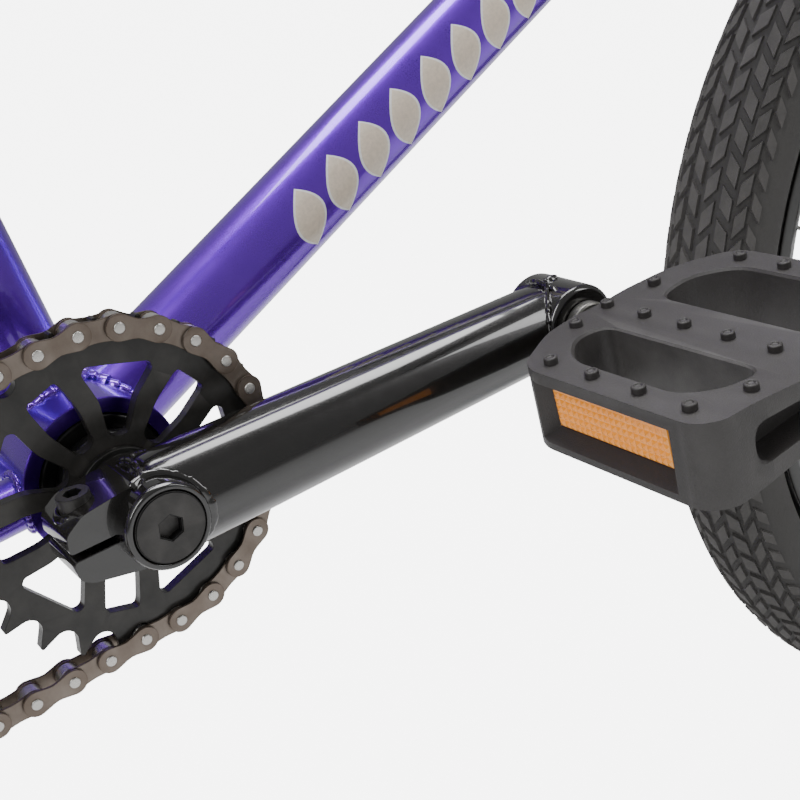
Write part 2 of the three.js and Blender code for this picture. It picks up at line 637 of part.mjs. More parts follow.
const STEM_FROM = HEAD_TO + 6.3;
const STEM_TO = STEERER_TOP - 1;
const REACH = 50;
const stemMiddle = (STEM_FROM + STEM_TO) / 2;
const stemHeight = STEM_TO - STEM_FROM;
const stemTilt = Math.PI / 2 - HEAD_ANGLE;
const barCentre = steerAt(stemMiddle).addScaledVector(steerForward, REACH);
const spacer = ring(14.6, 20.5, HEAD_TO + GAP, STEM_FROM - GAP, steerBase, steerUp, 16);
add("steering", "headset_spacer", spacer, black);
const stemCylinder = rod(steerAt(STEM_FROM), steerAt(STEM_TO), 21, 21, 16);
const stemArm = box(REACH, 48, stemHeight, steerAt(stemMiddle).addScaledVector(steerForward, REACH / 2), stemTilt);
const steererBore = rod(steerAt(STEM_FROM - 10), steerAt(STEM_TO + 10), 14.6, 14.6, 16);
const barBore = rod(barCentre.clone().setY(-60), barCentre.clone().setY(60), BAR_RADIUS + 0.6, BAR_RADIUS + 0.6, 16);
const stemFront = box(20, 60, 60, barCentre.clone().addScaledVector(steerForward, 9), stemTilt);
add("steering", "stem_body", cut(stemCylinder.add(stemArm), [steererBore, barBore, stemFront]), black);
const plateBox = box(17, 48, stemHeight, barCentre.clone().addScaledVector(steerForward, 9.5), stemTilt);
add("steering", "stem_plate", plateBox.subtract(barBore), black);
const capFrom = STEERER_TOP + GAP;
add("steering", "top_cap", rod(steerAt(capFrom), steerAt(capFrom + 5), 17, 17, 16), black);

// Half of the bar as straight runs joined by round bends.
const barPoint = (y, up, back) => barCentre.clone().addScaledVector(steerUp, up).addScaledVector(vec(-1, 0, 0), back).setY(y);
const barCorners = [
  barPoint(-BAR_HALF_WIDTH, BAR_RISE + 6, 32), barPoint(-190, BAR_RISE, 0), barPoint(-52, 0, 0),
  barPoint(52, 0, 0), barPoint(190, BAR_RISE, 0), barPoint(BAR_HALF_WIDTH, BAR_RISE + 6, 32),
];
const barPath = new THREE.CurvePath();
let from = barCorners[0];
for (let i = 1; i + 1 < barCorners.length; i += 1) {
  const corner = barCorners[i];
  const bend = i === 2 || i === 3 ? 26 : 46;
  const before = corner.clone().addScaledVector(corner.clone().sub(barCorners[i - 1]).normalize(), -bend);
  const after = corner.clone().addScaledVector(barCorners[i + 1].clone().sub(corner).normalize(), bend);
  barPath.add(new THREE.LineCurve3(from, before));
  barPath.add(new THREE.QuadraticBezierCurve3(before, corner, after));
  from = after;
}
barPath.add(new THREE.LineCurve3(from, barCorners[5]));
const barSection = new THREE.Shape();
barSection.absarc(0, 0, BAR_RADIUS, 0, 2 * Math.PI, false);
const barShape = new THREE.ExtrudeGeometry(barSection, { steps: 44, curveSegments: 5, extrudePath: barPath });
add("steering", "handlebar", solid(barShape), black);

const crossUp = 148;
const crossHalf = 52 + 138 * crossUp / BAR_RISE;
const crossbar = rod(barPoint(-crossHalf, crossUp, 0), barPoint(crossHalf, crossUp, 0), 8, 8, 12);
const uprights = [-1, 1].map((side) => (
  rod(barPoint(side * 52, 0, 0), barPoint(side * 190, BAR_RISE, 0), BAR_RADIUS + GAP + 0.2, BAR_RADIUS + GAP + 0.2, 12)
));
const outsideBars = [-1, 1].map((side) => (
  rod(barPoint(side * (crossHalf + 9), crossUp, 0), barPoint(side * (crossHalf + 60), crossUp, 0), 30, 30, 12)
));
add("steering", "crossbar", largestPiece(cut(crossbar, [...uprights, ...outsideBars])), black);

function largestPiece(body) {
  return body.decompose().sort((a, b) => b.volume() - a.volume())[0];
}

const barEnd = barCorners[0];
const inboard = barCorners[1].clone().sub(barEnd).normalize();
const gripProfile = [
  [0, -8], [17, -8], [18, -6], [18, -3], [15.5, -1], [15.5, 126], [21, 128], [21, 131],
  [BAR_RADIUS + 1.3, 131], [BAR_RADIUS + 1.3, -GAP], [0, -GAP],
];
const grip = lathe(gripProfile, barEnd, inboard, 14);
add("steering", "grip_right", grip, rubber);
add("steering", "grip_left", mirrored(grip), rubber);

// ---- seat ----------------------------------------------------------------
const postTop = seatAt(262);
add("seat", "seat_post", rod(seatAt(110), postTop, POST_RADIUS, POST_RADIUS, 16), black);
const saddleOutline = new THREE.Shape();
saddleOutline.moveTo(128, 0);
saddleOutline.quadraticCurveTo(128, 18, 100, 21);
saddleOutline.quadraticCurveTo(10, 28, -50, 55);
saddleOutline.quadraticCurveTo(-112, 70, -118, 30);
saddleOutline.quadraticCurveTo(-120, 0, -118, -30);
saddleOutline.quadraticCurveTo(-112, -70, -50, -55);
saddleOutline.quadraticCurveTo(10, -28, 100, -21);
saddleOutline.quadraticCurveTo(128, -18, 128, 0);
const saddleShape = new THREE.ExtrudeGeometry(saddleOutline, {
  depth: 16, steps: 1, curveSegments: 3, bevelEnabled: true, bevelThickness: 9, bevelSize: 6, bevelOffset: -6,
  bevelSegments: 1,
});
saddleShape.rotateY(rad(-6));
saddleShape.translate(postTop.x - 12, 0, postTop.z + 12);
const saddleNeck = rod(seatAt(262 + GAP), seatAt(276), 17, 22, 12);
add("seat", "saddle", solid(saddleShape).add(saddleNeck), rubber);

export default bike;
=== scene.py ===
# %% [markdown]
# This lesson finishes a small-wheeled stunt bike whose frame, joints and sizes already exist as a
# measured model. Loading that model first means that nothing here has to be fitted by eye: every
# tube, link and stud is placed from the model's own joints, in metres, +X forwards, +Z up, with the
# chain on the -Y side.

# %% load the measured model
import bpy
import bmesh
import json
from math import pi, sin, cos, sqrt, radians, degrees, asin, atan2, tau
from mathutils import Vector, Matrix, noise


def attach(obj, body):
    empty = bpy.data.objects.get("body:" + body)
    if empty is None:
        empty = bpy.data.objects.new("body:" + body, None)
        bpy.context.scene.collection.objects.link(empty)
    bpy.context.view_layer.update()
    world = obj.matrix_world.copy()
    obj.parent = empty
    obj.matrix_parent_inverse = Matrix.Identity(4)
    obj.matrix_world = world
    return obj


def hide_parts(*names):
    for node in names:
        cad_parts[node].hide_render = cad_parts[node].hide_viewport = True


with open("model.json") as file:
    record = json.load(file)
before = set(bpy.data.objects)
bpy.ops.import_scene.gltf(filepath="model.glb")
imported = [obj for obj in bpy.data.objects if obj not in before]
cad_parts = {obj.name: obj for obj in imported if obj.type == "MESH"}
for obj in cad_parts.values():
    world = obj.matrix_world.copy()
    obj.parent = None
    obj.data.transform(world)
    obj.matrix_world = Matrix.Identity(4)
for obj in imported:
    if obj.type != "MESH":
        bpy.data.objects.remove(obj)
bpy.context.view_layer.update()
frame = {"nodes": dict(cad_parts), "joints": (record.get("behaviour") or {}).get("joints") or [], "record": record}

joint = {j["name"]: j for j in frame["joints"]}
MM = 0.001
Y = Vector((0, 1, 0))
BB = Vector(joint["crank_spin"]["pos_m"])            # middle of the bottom bracket
REAR = Vector(joint["rear_wheel_spin"]["pos_m"])
FRONT = Vector(joint["front_wheel_spin"]["pos_m"])
PEDAL = Vector(joint["pedal_right_spin"]["pos_m"])
STEER_UP = Vector(joint["steer"]["axis"]).normalized()
STEER_AHEAD = Y.cross(STEER_UP)
SEAT_UP = Vector(joint["seat_height"]["axis"]).normalized()
print("bottom bracket", BB[:], "rear axle", REAR[:], "front axle", FRONT[:])

# %% [markdown]
# A studio picture needs three things: a camera, a plain floor and soft light. The camera stands
# close to the cranks on the drive side and looks forwards and down along the bike, so the crank arm
# runs away from it towards the front tyre. It leans a few degrees, as a hand-held camera does.
# The floor is one pale sheet that runs to the horizon, and three large lamps give the long soft
# streaks that round tubes need, because a glossy tube shows nothing but what stands around it.

# %% camera
def look(azimuth, elevation, roll):
    """Rotation of a camera that faces along an azimuth from +Y, tipped down and rolled, in degrees."""
    a, e, r = radians(azimuth), radians(elevation), radians(roll)
    ahead = Vector((-sin(a) * cos(e), cos(a) * cos(e), -sin(e)))
    right = ahead.cross(Vector((0, 0, 1))).normalized()
    up = right.cross(ahead)
    right, up = cos(r) * right + sin(r) * up, cos(r) * up - sin(r) * right
    return Matrix((right, up, -ahead)).transposed().to_4x4()


camera_data = bpy.data.cameras.new("camera")
camera_data.lens = 57.3
camera_data.sensor_width = 36
camera_data.clip_start = 0.01
camera = bpy.data.objects.new("camera", camera_data)
bpy.context.scene.collection.objects.link(camera)
camera.matrix_world = Matrix.Translation(BB + Vector((-0.1161, -0.3949, 0.1529))) @ look(-32.15, 20.46, -5.85)
bpy.context.scene.camera = camera
print("camera at", [round(v, 3) for v in camera.matrix_world.translation])


# %% lamps and floor
def lamp(name, at, target, width, height, power):
    data = bpy.data.lights.new(name, "AREA")
    data.shape, data.size, data.size_y, data.energy = "RECTANGLE", width, height, power
    obj = bpy.data.objects.new(name, data)
    bpy.context.scene.collection.objects.link(obj)
    obj.location = at
    obj.rotation_euler = (Vector(target) - Vector(at)).to_track_quat("-Z", "Y").to_euler()
    return obj


lamp("overhead", (0.25, 0.35, 2.1), (0.05, 0, 0.3), 1.5, 0.8, 44)
lamp("left_strip", (-1.5, -0.5, 1.5), (-0.05, 0, 0.35), 0.35, 1.5, 20)
lamp("front_strip", (1.3, -1.3, 1.5), (0.1, 0, 0.35), 0.4, 1.4, 12)

world = bpy.data.worlds.new("studio")
bpy.context.scene.world = world
world.use_nodes = True
world.node_tree.nodes["Background"].inputs["Color"].default_value = (1, 1, 1, 1)
world.node_tree.nodes["Background"].inputs["Strength"].default_value = 0.30
# Seen straight on, the surroundings are as pale as the floor; only their light on the bike is dim.
sky_nodes, sky_link = world.node_tree.nodes, world.node_tree.links.new
pale = sky_nodes.new("ShaderNodeBackground")
pale.inputs["Color"].default_value = (1, 1, 1, 1)
pale.inputs["Strength"].default_value = 6.3
sight = sky_nodes.new("ShaderNodeLightPath")
sky_mix = sky_nodes.new("ShaderNodeMixShader")
sky_link(sight.outputs["Is Camera Ray"], sky_mix.inputs["Fac"])
sky_link(sky_nodes["Background"].outputs[0], sky_mix.inputs[1])
sky_link(pale.outputs[0], sky_mix.inputs[2])
sky_link(sky_mix.outputs[0], sky_nodes["World Output"].inputs["Surface"])

# %% [markdown]
# Most finishes share a few small effects. Fine grain makes moulded plastic and cast metal look
# touched by a tool; rubbed edges turn lighter where hands, shoes and chain pass. Each effect is
# made once as a node group with its own inputs, and each finish then places the group with its own
# values, so a change to the effect reaches every finish.

# %% group: fine grain
def new_group(name, inputs, outputs):
    group = bpy.data.node_groups.new(name, "ShaderNodeTree")
    for label, kind, value in inputs:
        socket = group.interface.new_socket(name=label, in_out="INPUT", socket_type=kind)
        socket.default_value = value
    for label, kind in outputs:
        group.interface.new_socket(name=label, in_out="OUTPUT", socket_type=kind)
    return group, group.nodes.new("NodeGroupInput"), group.nodes.new("NodeGroupOutput")


def grain_group():
    """Value noise at one scale, given as a height and as a small change in brightness."""
    group, given, out = new_group(
        "fine_grain",
        [("Scale", "NodeSocketFloat", 900.0), ("Spread", "NodeSocketFloat", 0.2),
         ("Middle", "NodeSocketFloat", 0.5)],
        [("Height", "NodeSocketFloat"), ("Value", "NodeSocketFloat")],
    )
    place = group.nodes.new("ShaderNodeTexCoord")
    fine = group.nodes.new("ShaderNodeTexNoise")
    fine.inputs["Detail"].default_value = 2.0
    coarse = group.nodes.new("ShaderNodeTexNoise")
    coarse.inputs["Scale"].default_value = 38.0
    coarse.inputs["Detail"].default_value = 3.0
    both = group.nodes.new("ShaderNodeMath")
    both.operation = "ADD"
    less = group.nodes.new("ShaderNodeMath")
    less.operation = "SUBTRACT"
    less.inputs[1].default_value = 1.0
    spread = group.nodes.new("ShaderNodeMath")
    spread.operation = "MULTIPLY_ADD"
    link = group.links.new
    link(place.outputs["Object"], fine.inputs["Vector"])
    link(place.outputs["Object"], coarse.inputs["Vector"])
    link(given.outputs["Scale"], fine.inputs["Scale"])
    link(fine.outputs["Fac"], both.inputs[0])
    link(coarse.outputs["Fac"], both.inputs[1])
    link(both.outputs[0], less.inputs[0])
    link(less.outputs[0], spread.inputs[0])
    link(given.outputs["Spread"], spread.inputs[1])
    link(given.outputs["Middle"], spread.inputs[2])
    link(fine.outputs["Fac"], out.inputs["Height"])
    link(spread.outputs[0], out.inputs["Value"])
    return group


fine_grain = grain_group()


# %% group: rubbed edges
def wear_group():
    """A mask that is 1 on outward edges, broken up by noise, and 0 on flats and in corners."""
    group, given, out = new_group(
        "rubbed_edges",
        [("Amount", "NodeSocketFloat", 0.5), ("Breakup", "NodeSocketFloat", 120.0)],
        [("Mask", "NodeSocketFloat")],
    )
    shape = group.nodes.new("ShaderNodeNewGeometry")
    ramp = group.nodes.new("ShaderNodeMapRange")
    ramp.inputs["From Min"].default_value = 0.53
    ramp.inputs["From Max"].default_value = 0.64
    place = group.nodes.new("ShaderNodeTexCoord")
    patches = group.nodes.new("ShaderNodeTexNoise")
    patches.inputs["Detail"].default_value = 4.0
    times = group.nodes.new("ShaderNodeMath")
    times.operation = "MULTIPLY"
    amount = group.nodes.new("ShaderNodeMath")
    amount.operation = "MULTIPLY"
    link = group.links.new
    link(shape.outputs["Pointiness"], ramp.inputs["Value"])
    link(place.outputs["Object"], patches.inputs["Vector"])
    link(given.outputs["Breakup"], patches.inputs["Scale"])
    link(ramp.outputs["Result"], times.inputs[0])
    link(patches.outputs["Fac"], times.inputs[1])
    link(times.outputs[0], amount.inputs[0])
    link(given.outputs["Amount"], amount.inputs[1])
    link(amount.outputs[0], out.inputs["Mask"])
    return group


rubbed_edges = wear_group()


# %% [markdown]
# A finish is then one function call: a base colour, how metallic and how rough it is, how much
# clear lacquer lies on it, and how strongly grain and rubbed edges show. Values that are the same
# all over the surface stay on the shader's own sockets. Only what varies is linked.

# %% the finish maker
def finish(name, colour, metallic=0.0, rough=0.5, coat=0.0, coat_rough=0.05, grain=900.0, bump=0.02,
           spread=0.10, worn=None, wear=0.5, **sockets):
    """A material whose colour, roughness and surface all vary a little, with lighter worn edges."""
    look = bpy.data.materials.new(name)
    look.use_nodes = True
    nodes, link = look.node_tree.nodes, look.node_tree.links.new
    shader = nodes["Principled BSDF"]
    shader.inputs["Metallic"].default_value = metallic
    shader.inputs["Coat Weight"].default_value = coat
    shader.inputs["Coat Roughness"].default_value = coat_rough
    for label, value in sockets.items():
        shader.inputs[label].default_value = value
    texture = nodes.new("ShaderNodeGroup")
    texture.node_tree = fine_grain
    texture.inputs["Scale"].default_value = grain
    texture.inputs["Spread"].default_value = spread
    texture.inputs["Middle"].default_value = rough
    link(texture.outputs["Value"], shader.inputs["Roughness"])
    lifted = nodes.new("ShaderNodeBump")
    lifted.inputs["Strength"].default_value = 1.0
    lifted.inputs["Distance"].default_value = bump * MM
    link(texture.outputs["Height"], lifted.inputs["Height"])
    link(lifted.outputs["Normal"], shader.inputs["Normal"])
    edges = nodes.new("ShaderNodeGroup")
    edges.node_tree = rubbed_edges
    edges.inputs["Amount"].default_value = wear
    mottle = nodes.new("ShaderNodeMix")
    mottle.data_type = "RGBA"
    mottle.inputs["A"].default_value = (*[c * 0.82 for c in colour], 1)
    mottle.inputs["B"].default_value = (*[min(c * 1.18, 1) for c in colour], 1)
    mixed = nodes.new("ShaderNodeMix")
    mixed.data_type = "RGBA"
    mixed.inputs["B"].default_value = (*(worn or [min(c * 1.6 + 0.02, 1) for c in colour]), 1)
    link(texture.outputs["Height"], mottle.inputs["Factor"])
    link(edges.outputs["Mask"], mixed.inputs["Factor"])
    link(mottle.outputs["Result"], mixed.inputs["A"])
    link(mixed.outputs["Result"], shader.inputs["Base Color"])
    print("finish", name)
    return look


# %% [markdown]
# The tubes are candy violet: a clear coloured lacquer over bright metal flake. Light passes the
# colour twice, so the paint glows where it is lit and falls to blue-black where it isn't. A highly
# metallic base in a saturated colour, a fine sparkle in its grain and a hard clear coat give this.
# Crank, fork and bars are gloss black over steel, the sprocket a flatter black, the chain brown
# oiled plate with bright rivets, and the pedals a grained dark moulding.

# %% finishes of this bike
violet = finish("candy_violet", (0.150, 0.018, 0.60), 0.82, 0.30, 1.0, 0.03, grain=5200, bump=0.006,
                spread=0.16, worn=(0.34, 0.12, 0.85), wear=0.35)
violet_bead = finish("candy_violet_weld", (0.17, 0.025, 0.62), 0.72, 0.20, 1.0, 0.05, grain=700, bump=0.05,
                     spread=0.12, worn=(0.45, 0.25, 0.95), wear=0.7)
violet_turned = finish("turned_violet", (0.065, 0.009, 0.27), 0.85, 0.36, 0.3, 0.1, grain=2600, bump=0.01)
gloss_black = finish("gloss_black", (0.006, 0.0055, 0.005), 0.0, 0.20, 1.0, 0.035, grain=260, bump=0.012,
                     spread=0.08, worn=(0.05, 0.045, 0.04), wear=0.3)
satin_black = finish("satin_black", (0.010, 0.010, 0.009), 0.25, 0.34, 0.35, 0.2, grain=1500, bump=0.010,
                     spread=0.12, worn=(0.16, 0.15, 0.14), wear=0.6)
bolt_black = finish("bolt_black", (0.010, 0.010, 0.010), 0.2, 0.42, 0.15, 0.3, grain=2400, bump=0.012,
                    worn=(0.20, 0.19, 0.18), wear=0.6)
chain_brown = finish("chain_brown", (0.115, 0.083, 0.060), 0.82, 0.40, 0.25, 0.2, grain=1900, bump=0.014,
                     spread=0.20, worn=(0.52, 0.47, 0.42), wear=0.8)
rivet_steel = finish("rivet_steel", (0.60, 0.59, 0.56), 0.95, 0.30, grain=2600, bump=0.010, spread=0.2)
dull_steel = finish("dull_steel", (0.22, 0.215, 0.20), 0.9, 0.36, grain=1500, bump=0.010, spread=0.2)
pedal_plastic = finish("grained_moulding", (0.034, 0.031, 0.030), 0.0, 0.50, grain=2100, bump=0.085,
                       spread=0.22, worn=(0.16, 0.155, 0.15), wear=0.55)
for black in (satin_black, bolt_black):
    black.node_tree.nodes["Principled BSDF"].inputs["Specular IOR Level"].default_value = 0.3
amber_lens_painted_glow = finish("amber_lens_painted_glow", (0.95, 0.30, 0.02), 0.0, 0.16, 0.9, 0.03, grain=420, bump=0.03, spread=0.1,
                    worn=(1.0, 0.55, 0.15), wear=0.8)
# The amber lens gets a faint orange emission: a painted glow, since a reflector gives no light of its own.
amber_lens_painted_glow.node_tree.nodes["Principled BSDF"].inputs["Emission Color"].default_value = (1.0, 0.34, 0.03, 1)
amber_lens_painted_glow.node_tree.nodes["Principled BSDF"].inputs["Emission Strength"].default_value = 0.22
tyre_rubber = finish("tyre_rubber", (0.046, 0.044, 0.042), 0.0, 0.74, grain=800, bump=0.08, spread=0.14,
                     worn=(0.10, 0.095, 0.09), wear=0.9)
grip_rubber = finish("grip_rubber", (0.018, 0.018, 0.018), 0.0, 0.62, grain=1300, bump=0.05, wear=0.8)
saddle_cover = finish("saddle_cover", (0.016, 0.016, 0.017), 0.0, 0.55, 0.15, 0.4, grain=1700, bump=0.12,
                      spread=0.2)
cream_print = finish("cream_print", (0.72, 0.62, 0.50), 0.0, 0.35, 0.9, 0.05, grain=900, bump=0.004)
white_print = finish("white_print", (0.86, 0.86, 0.88), 0.0, 0.35, 0.9, 0.05, grain=900, bump=0.004)
floor_grey = finish("pale_floor", (0.88, 0.88, 0.88), 0.0, 0.85, grain=30, bump=0.01, spread=0.05, wear=0.0)
print(len(bpy.data.materials), "finishes")

# %% [markdown]
# Everything on a bike is a tube, something turned on a lathe, or a flat plate with holes. Three
# small makers cover these. A loft joins loops of points; a sweep lofts circles along a path; a
# lathe lofts circles about an axis. A plate is filled between its outline and holes, thickened
# and given a small bevel, since no real edge is knife sharp and the bevel is what catches light.

# %% loft, sweep and lathe
def loft(loops, ring=False, capped=True):
    """Quads between loops of equal length; ring joins the last loop to the first."""
    count, sides = len(loops), len(loops[0])
    verts = [Vector(p) for loop in loops for p in loop]
    faces = []
    for i in range(count if ring else count - 1):
        a, b = i * sides, ((i + 1) % count) * sides
        faces += [[a + k, a + (k + 1) % sides, b + (k + 1) % sides, b + k] for k in range(sides)]
    if capped and not ring:
        faces += [list(range(sides))[::-1], [(count - 1) * sides + k for k in range(sides)]]
    return verts, faces


def circle(centre, along, radius, sides, start=None):
    side = (start or along.orthogonal()).normalized()
    side = (side - along * side.dot(along)).normalized()
    up = along.cross(side)
    return [centre + radius * (cos(tau * k / sides) * side + sin(tau * k / sides) * up) for k in range(sides)]


def sweep(points, radii, sides=32, start=None):
    """A round tube through points, with one radius or one for each point."""
    points = [Vector(p) for p in points]
    if not hasattr(radii, "__len__"):
        radii = [radii] * len(points)
    loops, side = [], start
    for i, point in enumerate(points):
        along = (points[min(i + 1, len(points) - 1)] - points[max(i - 1, 0)]).normalized()
        side = along.orthogonal() if side is None else side
        side = (side - along * side.dot(along)).normalized()
        loops.append(circle(point, along, radii[i], sides, side))
    return loft(loops)


def lathe(profile, origin, axis, sides=64):
    """Turns a list of (radius, place along axis); the same first and last point makes a ring."""
    axis = Vector(axis).normalized()
    ring = profile[0] == profile[-1]
    rows = profile[:-1] if ring else profile
    return loft([circle(origin + axis * s, axis, max(r, 2e-5), sides) for r, s in rows], ring)


def merge(*parts):
    verts, faces = [], []
    for more, shape in parts:
        faces += [[i + len(verts) for i in face] for face in shape]
        verts += more
    return verts, faces


def moved(part, matrix):
    return [matrix @ v for v in part[0]], part[1]


# %% rounding corners
def rounded(points, size, steps=4, closed=False):
    """The same path with each corner drawn as a short curve that starts `size` before it."""
    points = [Vector(p) for p in points]
    out, n = [], len(points)
    for i, p in enumerate(points):
        if not closed and i in (0, n - 1):
            out.append(p)
            continue
        before, after = points[i - 1], points[(i + 1) % n]
        reach = min(size, (before - p).length * 0.45, (after - p).length * 0.45)
        a, b = p + (before - p).normalized() * reach, p + (after - p).normalized() * reach
        out += [a.lerp(p, t).lerp(p.lerp(b, t), t) for t in (k / steps for k in range(steps + 1))]
    return out


def turned(profile, size=0.4):
    """A lathe profile in millimetres with softened corners, in metres."""
    ring = profile[0] == profile[-1]
    rows = [Vector((r, s)) * MM for r, s in (profile[:-1] if ring else profile)]
    soft = rounded(rows, size * MM, 3, closed=ring)
    return [tuple(p) for p in (soft + soft[:1] if ring else soft)]


# %% plates with holes
def plate(outline, holes, low, high, bevel, to_world):
    """A bevelled plate: 2D loops in metres, from `low` to `high`, placed by to_world(x, y, height)."""
    work = bmesh.new()
    for loop in [outline, *holes]:
        points = [work.verts.new((p[0], p[1], low)) for p in loop]
        for a, b in zip(points, points[1:] + points[:1]):
            work.edges.new((a, b))
    bmesh.ops.triangle_fill(work, use_beauty=True, edges=work.edges[:])
    made = bmesh.ops.extrude_face_region(work, geom=work.faces[:])["geom"]
    bmesh.ops.translate(work, verts=[g for g in made if isinstance(g, bmesh.types.BMVert)],
                        vec=(0, 0, high - low))
    bmesh.ops.recalc_face_normals(work, faces=work.faces[:])
    if bevel:
        work.normal_update()
        rims = [e for e in work.edges if len(e.link_faces) == 2 and
                (abs(e.link_faces[0].normal.z) > 0.9) != (abs(e.link_faces[1].normal.z) > 0.9)]
        bmesh.ops.bevel(work, geom=rims, offset=bevel, segments=2, affect="EDGES", clamp_overlap=True)
    work.verts.index_update()
    part = [Vector(to_world(*v.co)) for v in work.verts], [[v.index for v in f.verts] for f in work.faces]
    work.free()
    return part


def round_hole(x, y, radius, sides=32):
    return [(x + radius * cos(tau * k / sides), y + radius * sin(tau * k / sides)) for k in range(sides)]


# %% making a piece
def piece(name, part, body, look, stands_for=(), sharp=32, flat=False):
    """An object from verts and faces that rides on a body and may stand for plain nodes."""
    mesh = bpy.data.meshes.new(name)
    mesh.from_pydata([v[:] for v in part[0]], [], part[1])
    work = bmesh.new()
    work.from_mesh(mesh)
    bmesh.ops.recalc_face_normals(work, faces=work.faces[:])
    work.to_mesh(mesh)
    work.free()
    mesh.materials.append(look)
    mesh.shade_smooth()
    mesh.set_sharp_from_angle(angle=radians(sharp))
    obj = bpy.data.objects.new(name, mesh)
    bpy.context.scene.collection.objects.link(obj)
    if flat:
        obj.modifiers.new("even_shading", "WEIGHTED_NORMAL").keep_sharp = True
    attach(obj, body)
    if stands_for:
        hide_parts(*stands_for)
    print(name, "on", body, "with", len(mesh.vertices), "points")
    return obj


def floor():
    """A sheet that looks evenly white, with only a faint shadow, as on a lit white sweep."""
    part = [Vector((x, y, 0)) for x, y in ((-40, -40), (40, -40), (40, 40), (-40, 40))], [[0, 1, 2, 3]]
    mesh = bpy.data.meshes.new("floor")
    mesh.from_pydata([v[:] for v in part[0]], [], part[1])
    nodes, link = floor_grey.node_tree.nodes, floor_grey.node_tree.links.new
    glow = nodes.new("ShaderNodeEmission")
    glow.inputs["Strength"].default_value = FLOOR_GLOW
    seen = nodes.new("ShaderNodeLightPath")
    share = nodes.new("ShaderNodeMath")
    share.operation = "MULTIPLY"
    share.inputs[1].default_value = 0.7
    mix = nodes.new("ShaderNodeMixShader")
    link(seen.outputs["Is Camera Ray"], share.inputs[0])
    link(share.outputs[0], mix.inputs["Fac"])
    link(nodes["Principled BSDF"].outputs[0], mix.inputs[1])
    link(glow.outputs[0], mix.inputs[2])
    link(mix.outputs[0], nodes["Material Output"].inputs["Surface"])
    mesh.materials.append(floor_grey)
    obj = bpy.data.objects.new("floor", mesh)
    bpy.context.scene.collection.objects.link(obj)


FLOOR_GLOW = 9.0
floor()

# %% [markdown]
# Frame tubes are cut to a saddle so that they sit on their neighbour, then welded. Where the tube's
# straight lines meet the other tube's surface gives that saddle exactly: it is the root of a
# quadratic for each line. The same loop of points then carries the weld, a round bead whose
# thickness steps like overlapping coins, one coin for each dab of the welder's rod.

# %% saddles and weld beads
def saddle_cut(start, along, radius, post, post_dir, post_radius, far=1, sides=64):
    """Loop where a tube along `along` meets a round post, on its near (-1) or far (+1) side."""
    one = along.cross(Y).normalized() if abs(along.dot(Y)) < 0.9 else along.orthogonal().normalized()
    two = along.cross(one)
    loop = []
    for k in range(sides):
        edge = start + radius * (cos(tau * k / sides) * one + sin(tau * k / sides) * two)
        out = edge - post
        out -= post_dir * out.dot(post_dir)
        way = along - post_dir * along.dot(post_dir)
        a, b, c = way.dot(way), 2 * out.dot(way), out.dot(out) - post_radius ** 2
        loop.append(edge + along * ((-b + far * sqrt(max(b * b - 4 * a * c, 0))) / (2 * a)))
    return loop


def bead(path, width, closed=True, coin=2.3 * MM, sides=10, flat=0.62, seed=0.0):
    """A weld of stepped coins along a path; each coin's size wanders a little."""
    path = [Vector(p) for p in path]
    loop = path + path[:1] if closed else path
    lengths = [0.0]
    for a, b in zip(loop, loop[1:]):
        lengths.append(lengths[-1] + (b - a).length)
    coins = max(round(lengths[-1] / coin), 3)
    steps = coins * 6
    centre = sum(path, Vector()) / len(path)
    loops, j = [], 0
    for i in range(steps if closed else steps + 1):
        s = lengths[-1] * i / steps
        while lengths[j + 1] < s and j < len(lengths) - 2:
            j += 1
        point = loop[j].lerp(loop[j + 1], (s - lengths[j]) / max(lengths[j + 1] - lengths[j], 1e-9))
        along = (loop[j + 1] - loop[j]).normalized()
        number = i // 6
        wander = noise.noise(Vector((number * 0.73, seed, 0.5)))
        size = width * (0.80 + 0.24 * ((i % 6) / 5) ** 0.6 + 0.12 * wander)
        side = point - centre
        side = (side - along * side.dot(along)).normalized()
        up = along.cross(side)
        loops.append([point + size * (cos(tau * k / sides) * side + flat * sin(tau * k / sides) * up)
                      for k in range(sides)])
    return loft(loops, ring=closed)


# %% places on the frame
def bb(x, y, z):
    """Millimetres from the bottom bracket."""
    return BB + Vector((x, y, z)) * MM


def seat_at(s):
    return BB + SEAT_UP * s * MM


steer_base = FRONT - STEER_AHEAD * 30 * MM


def steer_at(s, ahead=0.0, y=0.0):
    return steer_base + (STEER_UP * s + STEER_AHEAD * ahead + Y * y) * MM


down_foot, down_head = BB, steer_at(335.4)
down_dir = (down_head - down_foot).normalized()
top_foot, top_head = seat_at(192), steer_at(395)
top_dir = (top_head - top_foot).normalized()
print("down tube leans", round(degrees(atan2(down_dir.z, down_dir.x)), 1), "degrees")

# %% down, top and seat tubes
SHELL, SEAT_R, DOWN_R, TOP_R = 26.3 * MM, 14.3 * MM, 16 * MM, 14.3 * MM
head_mid = steer_at(360)
down_low = saddle_cut(down_foot, down_dir, DOWN_R, BB, Y, SHELL - 0.4 * MM, 1)
down_high = saddle_cut(down_foot, down_dir, DOWN_R, head_mid, STEER_UP, 19.8 * MM, -1)
piece("down_tube_painted", loft([down_low, down_high]), "frame", violet, ["down_tube"])
top_low = saddle_cut(top_foot, top_dir, TOP_R, BB, SEAT_UP, SEAT_R - 0.3 * MM, 1)
top_high = saddle_cut(top_foot, top_dir, TOP_R, head_mid, STEER_UP, 19.8 * MM, -1)
piece("top_tube_painted", loft([top_low, top_high]), "frame", violet, ["top_tube"])
seat_low = saddle_cut(BB, SEAT_UP, SEAT_R, BB, Y, SHELL - 0.4 * MM, 1)
seat_rings = [circle(seat_at(s), SEAT_UP, r * MM, 64, seat_low[0] - BB) for s, r in
              ((214, 14.3), (221.4, 14.3), (222, 13.8), (222, 13.2), (120, 13.2))]
seat_rings = [seat_low] + seat_rings
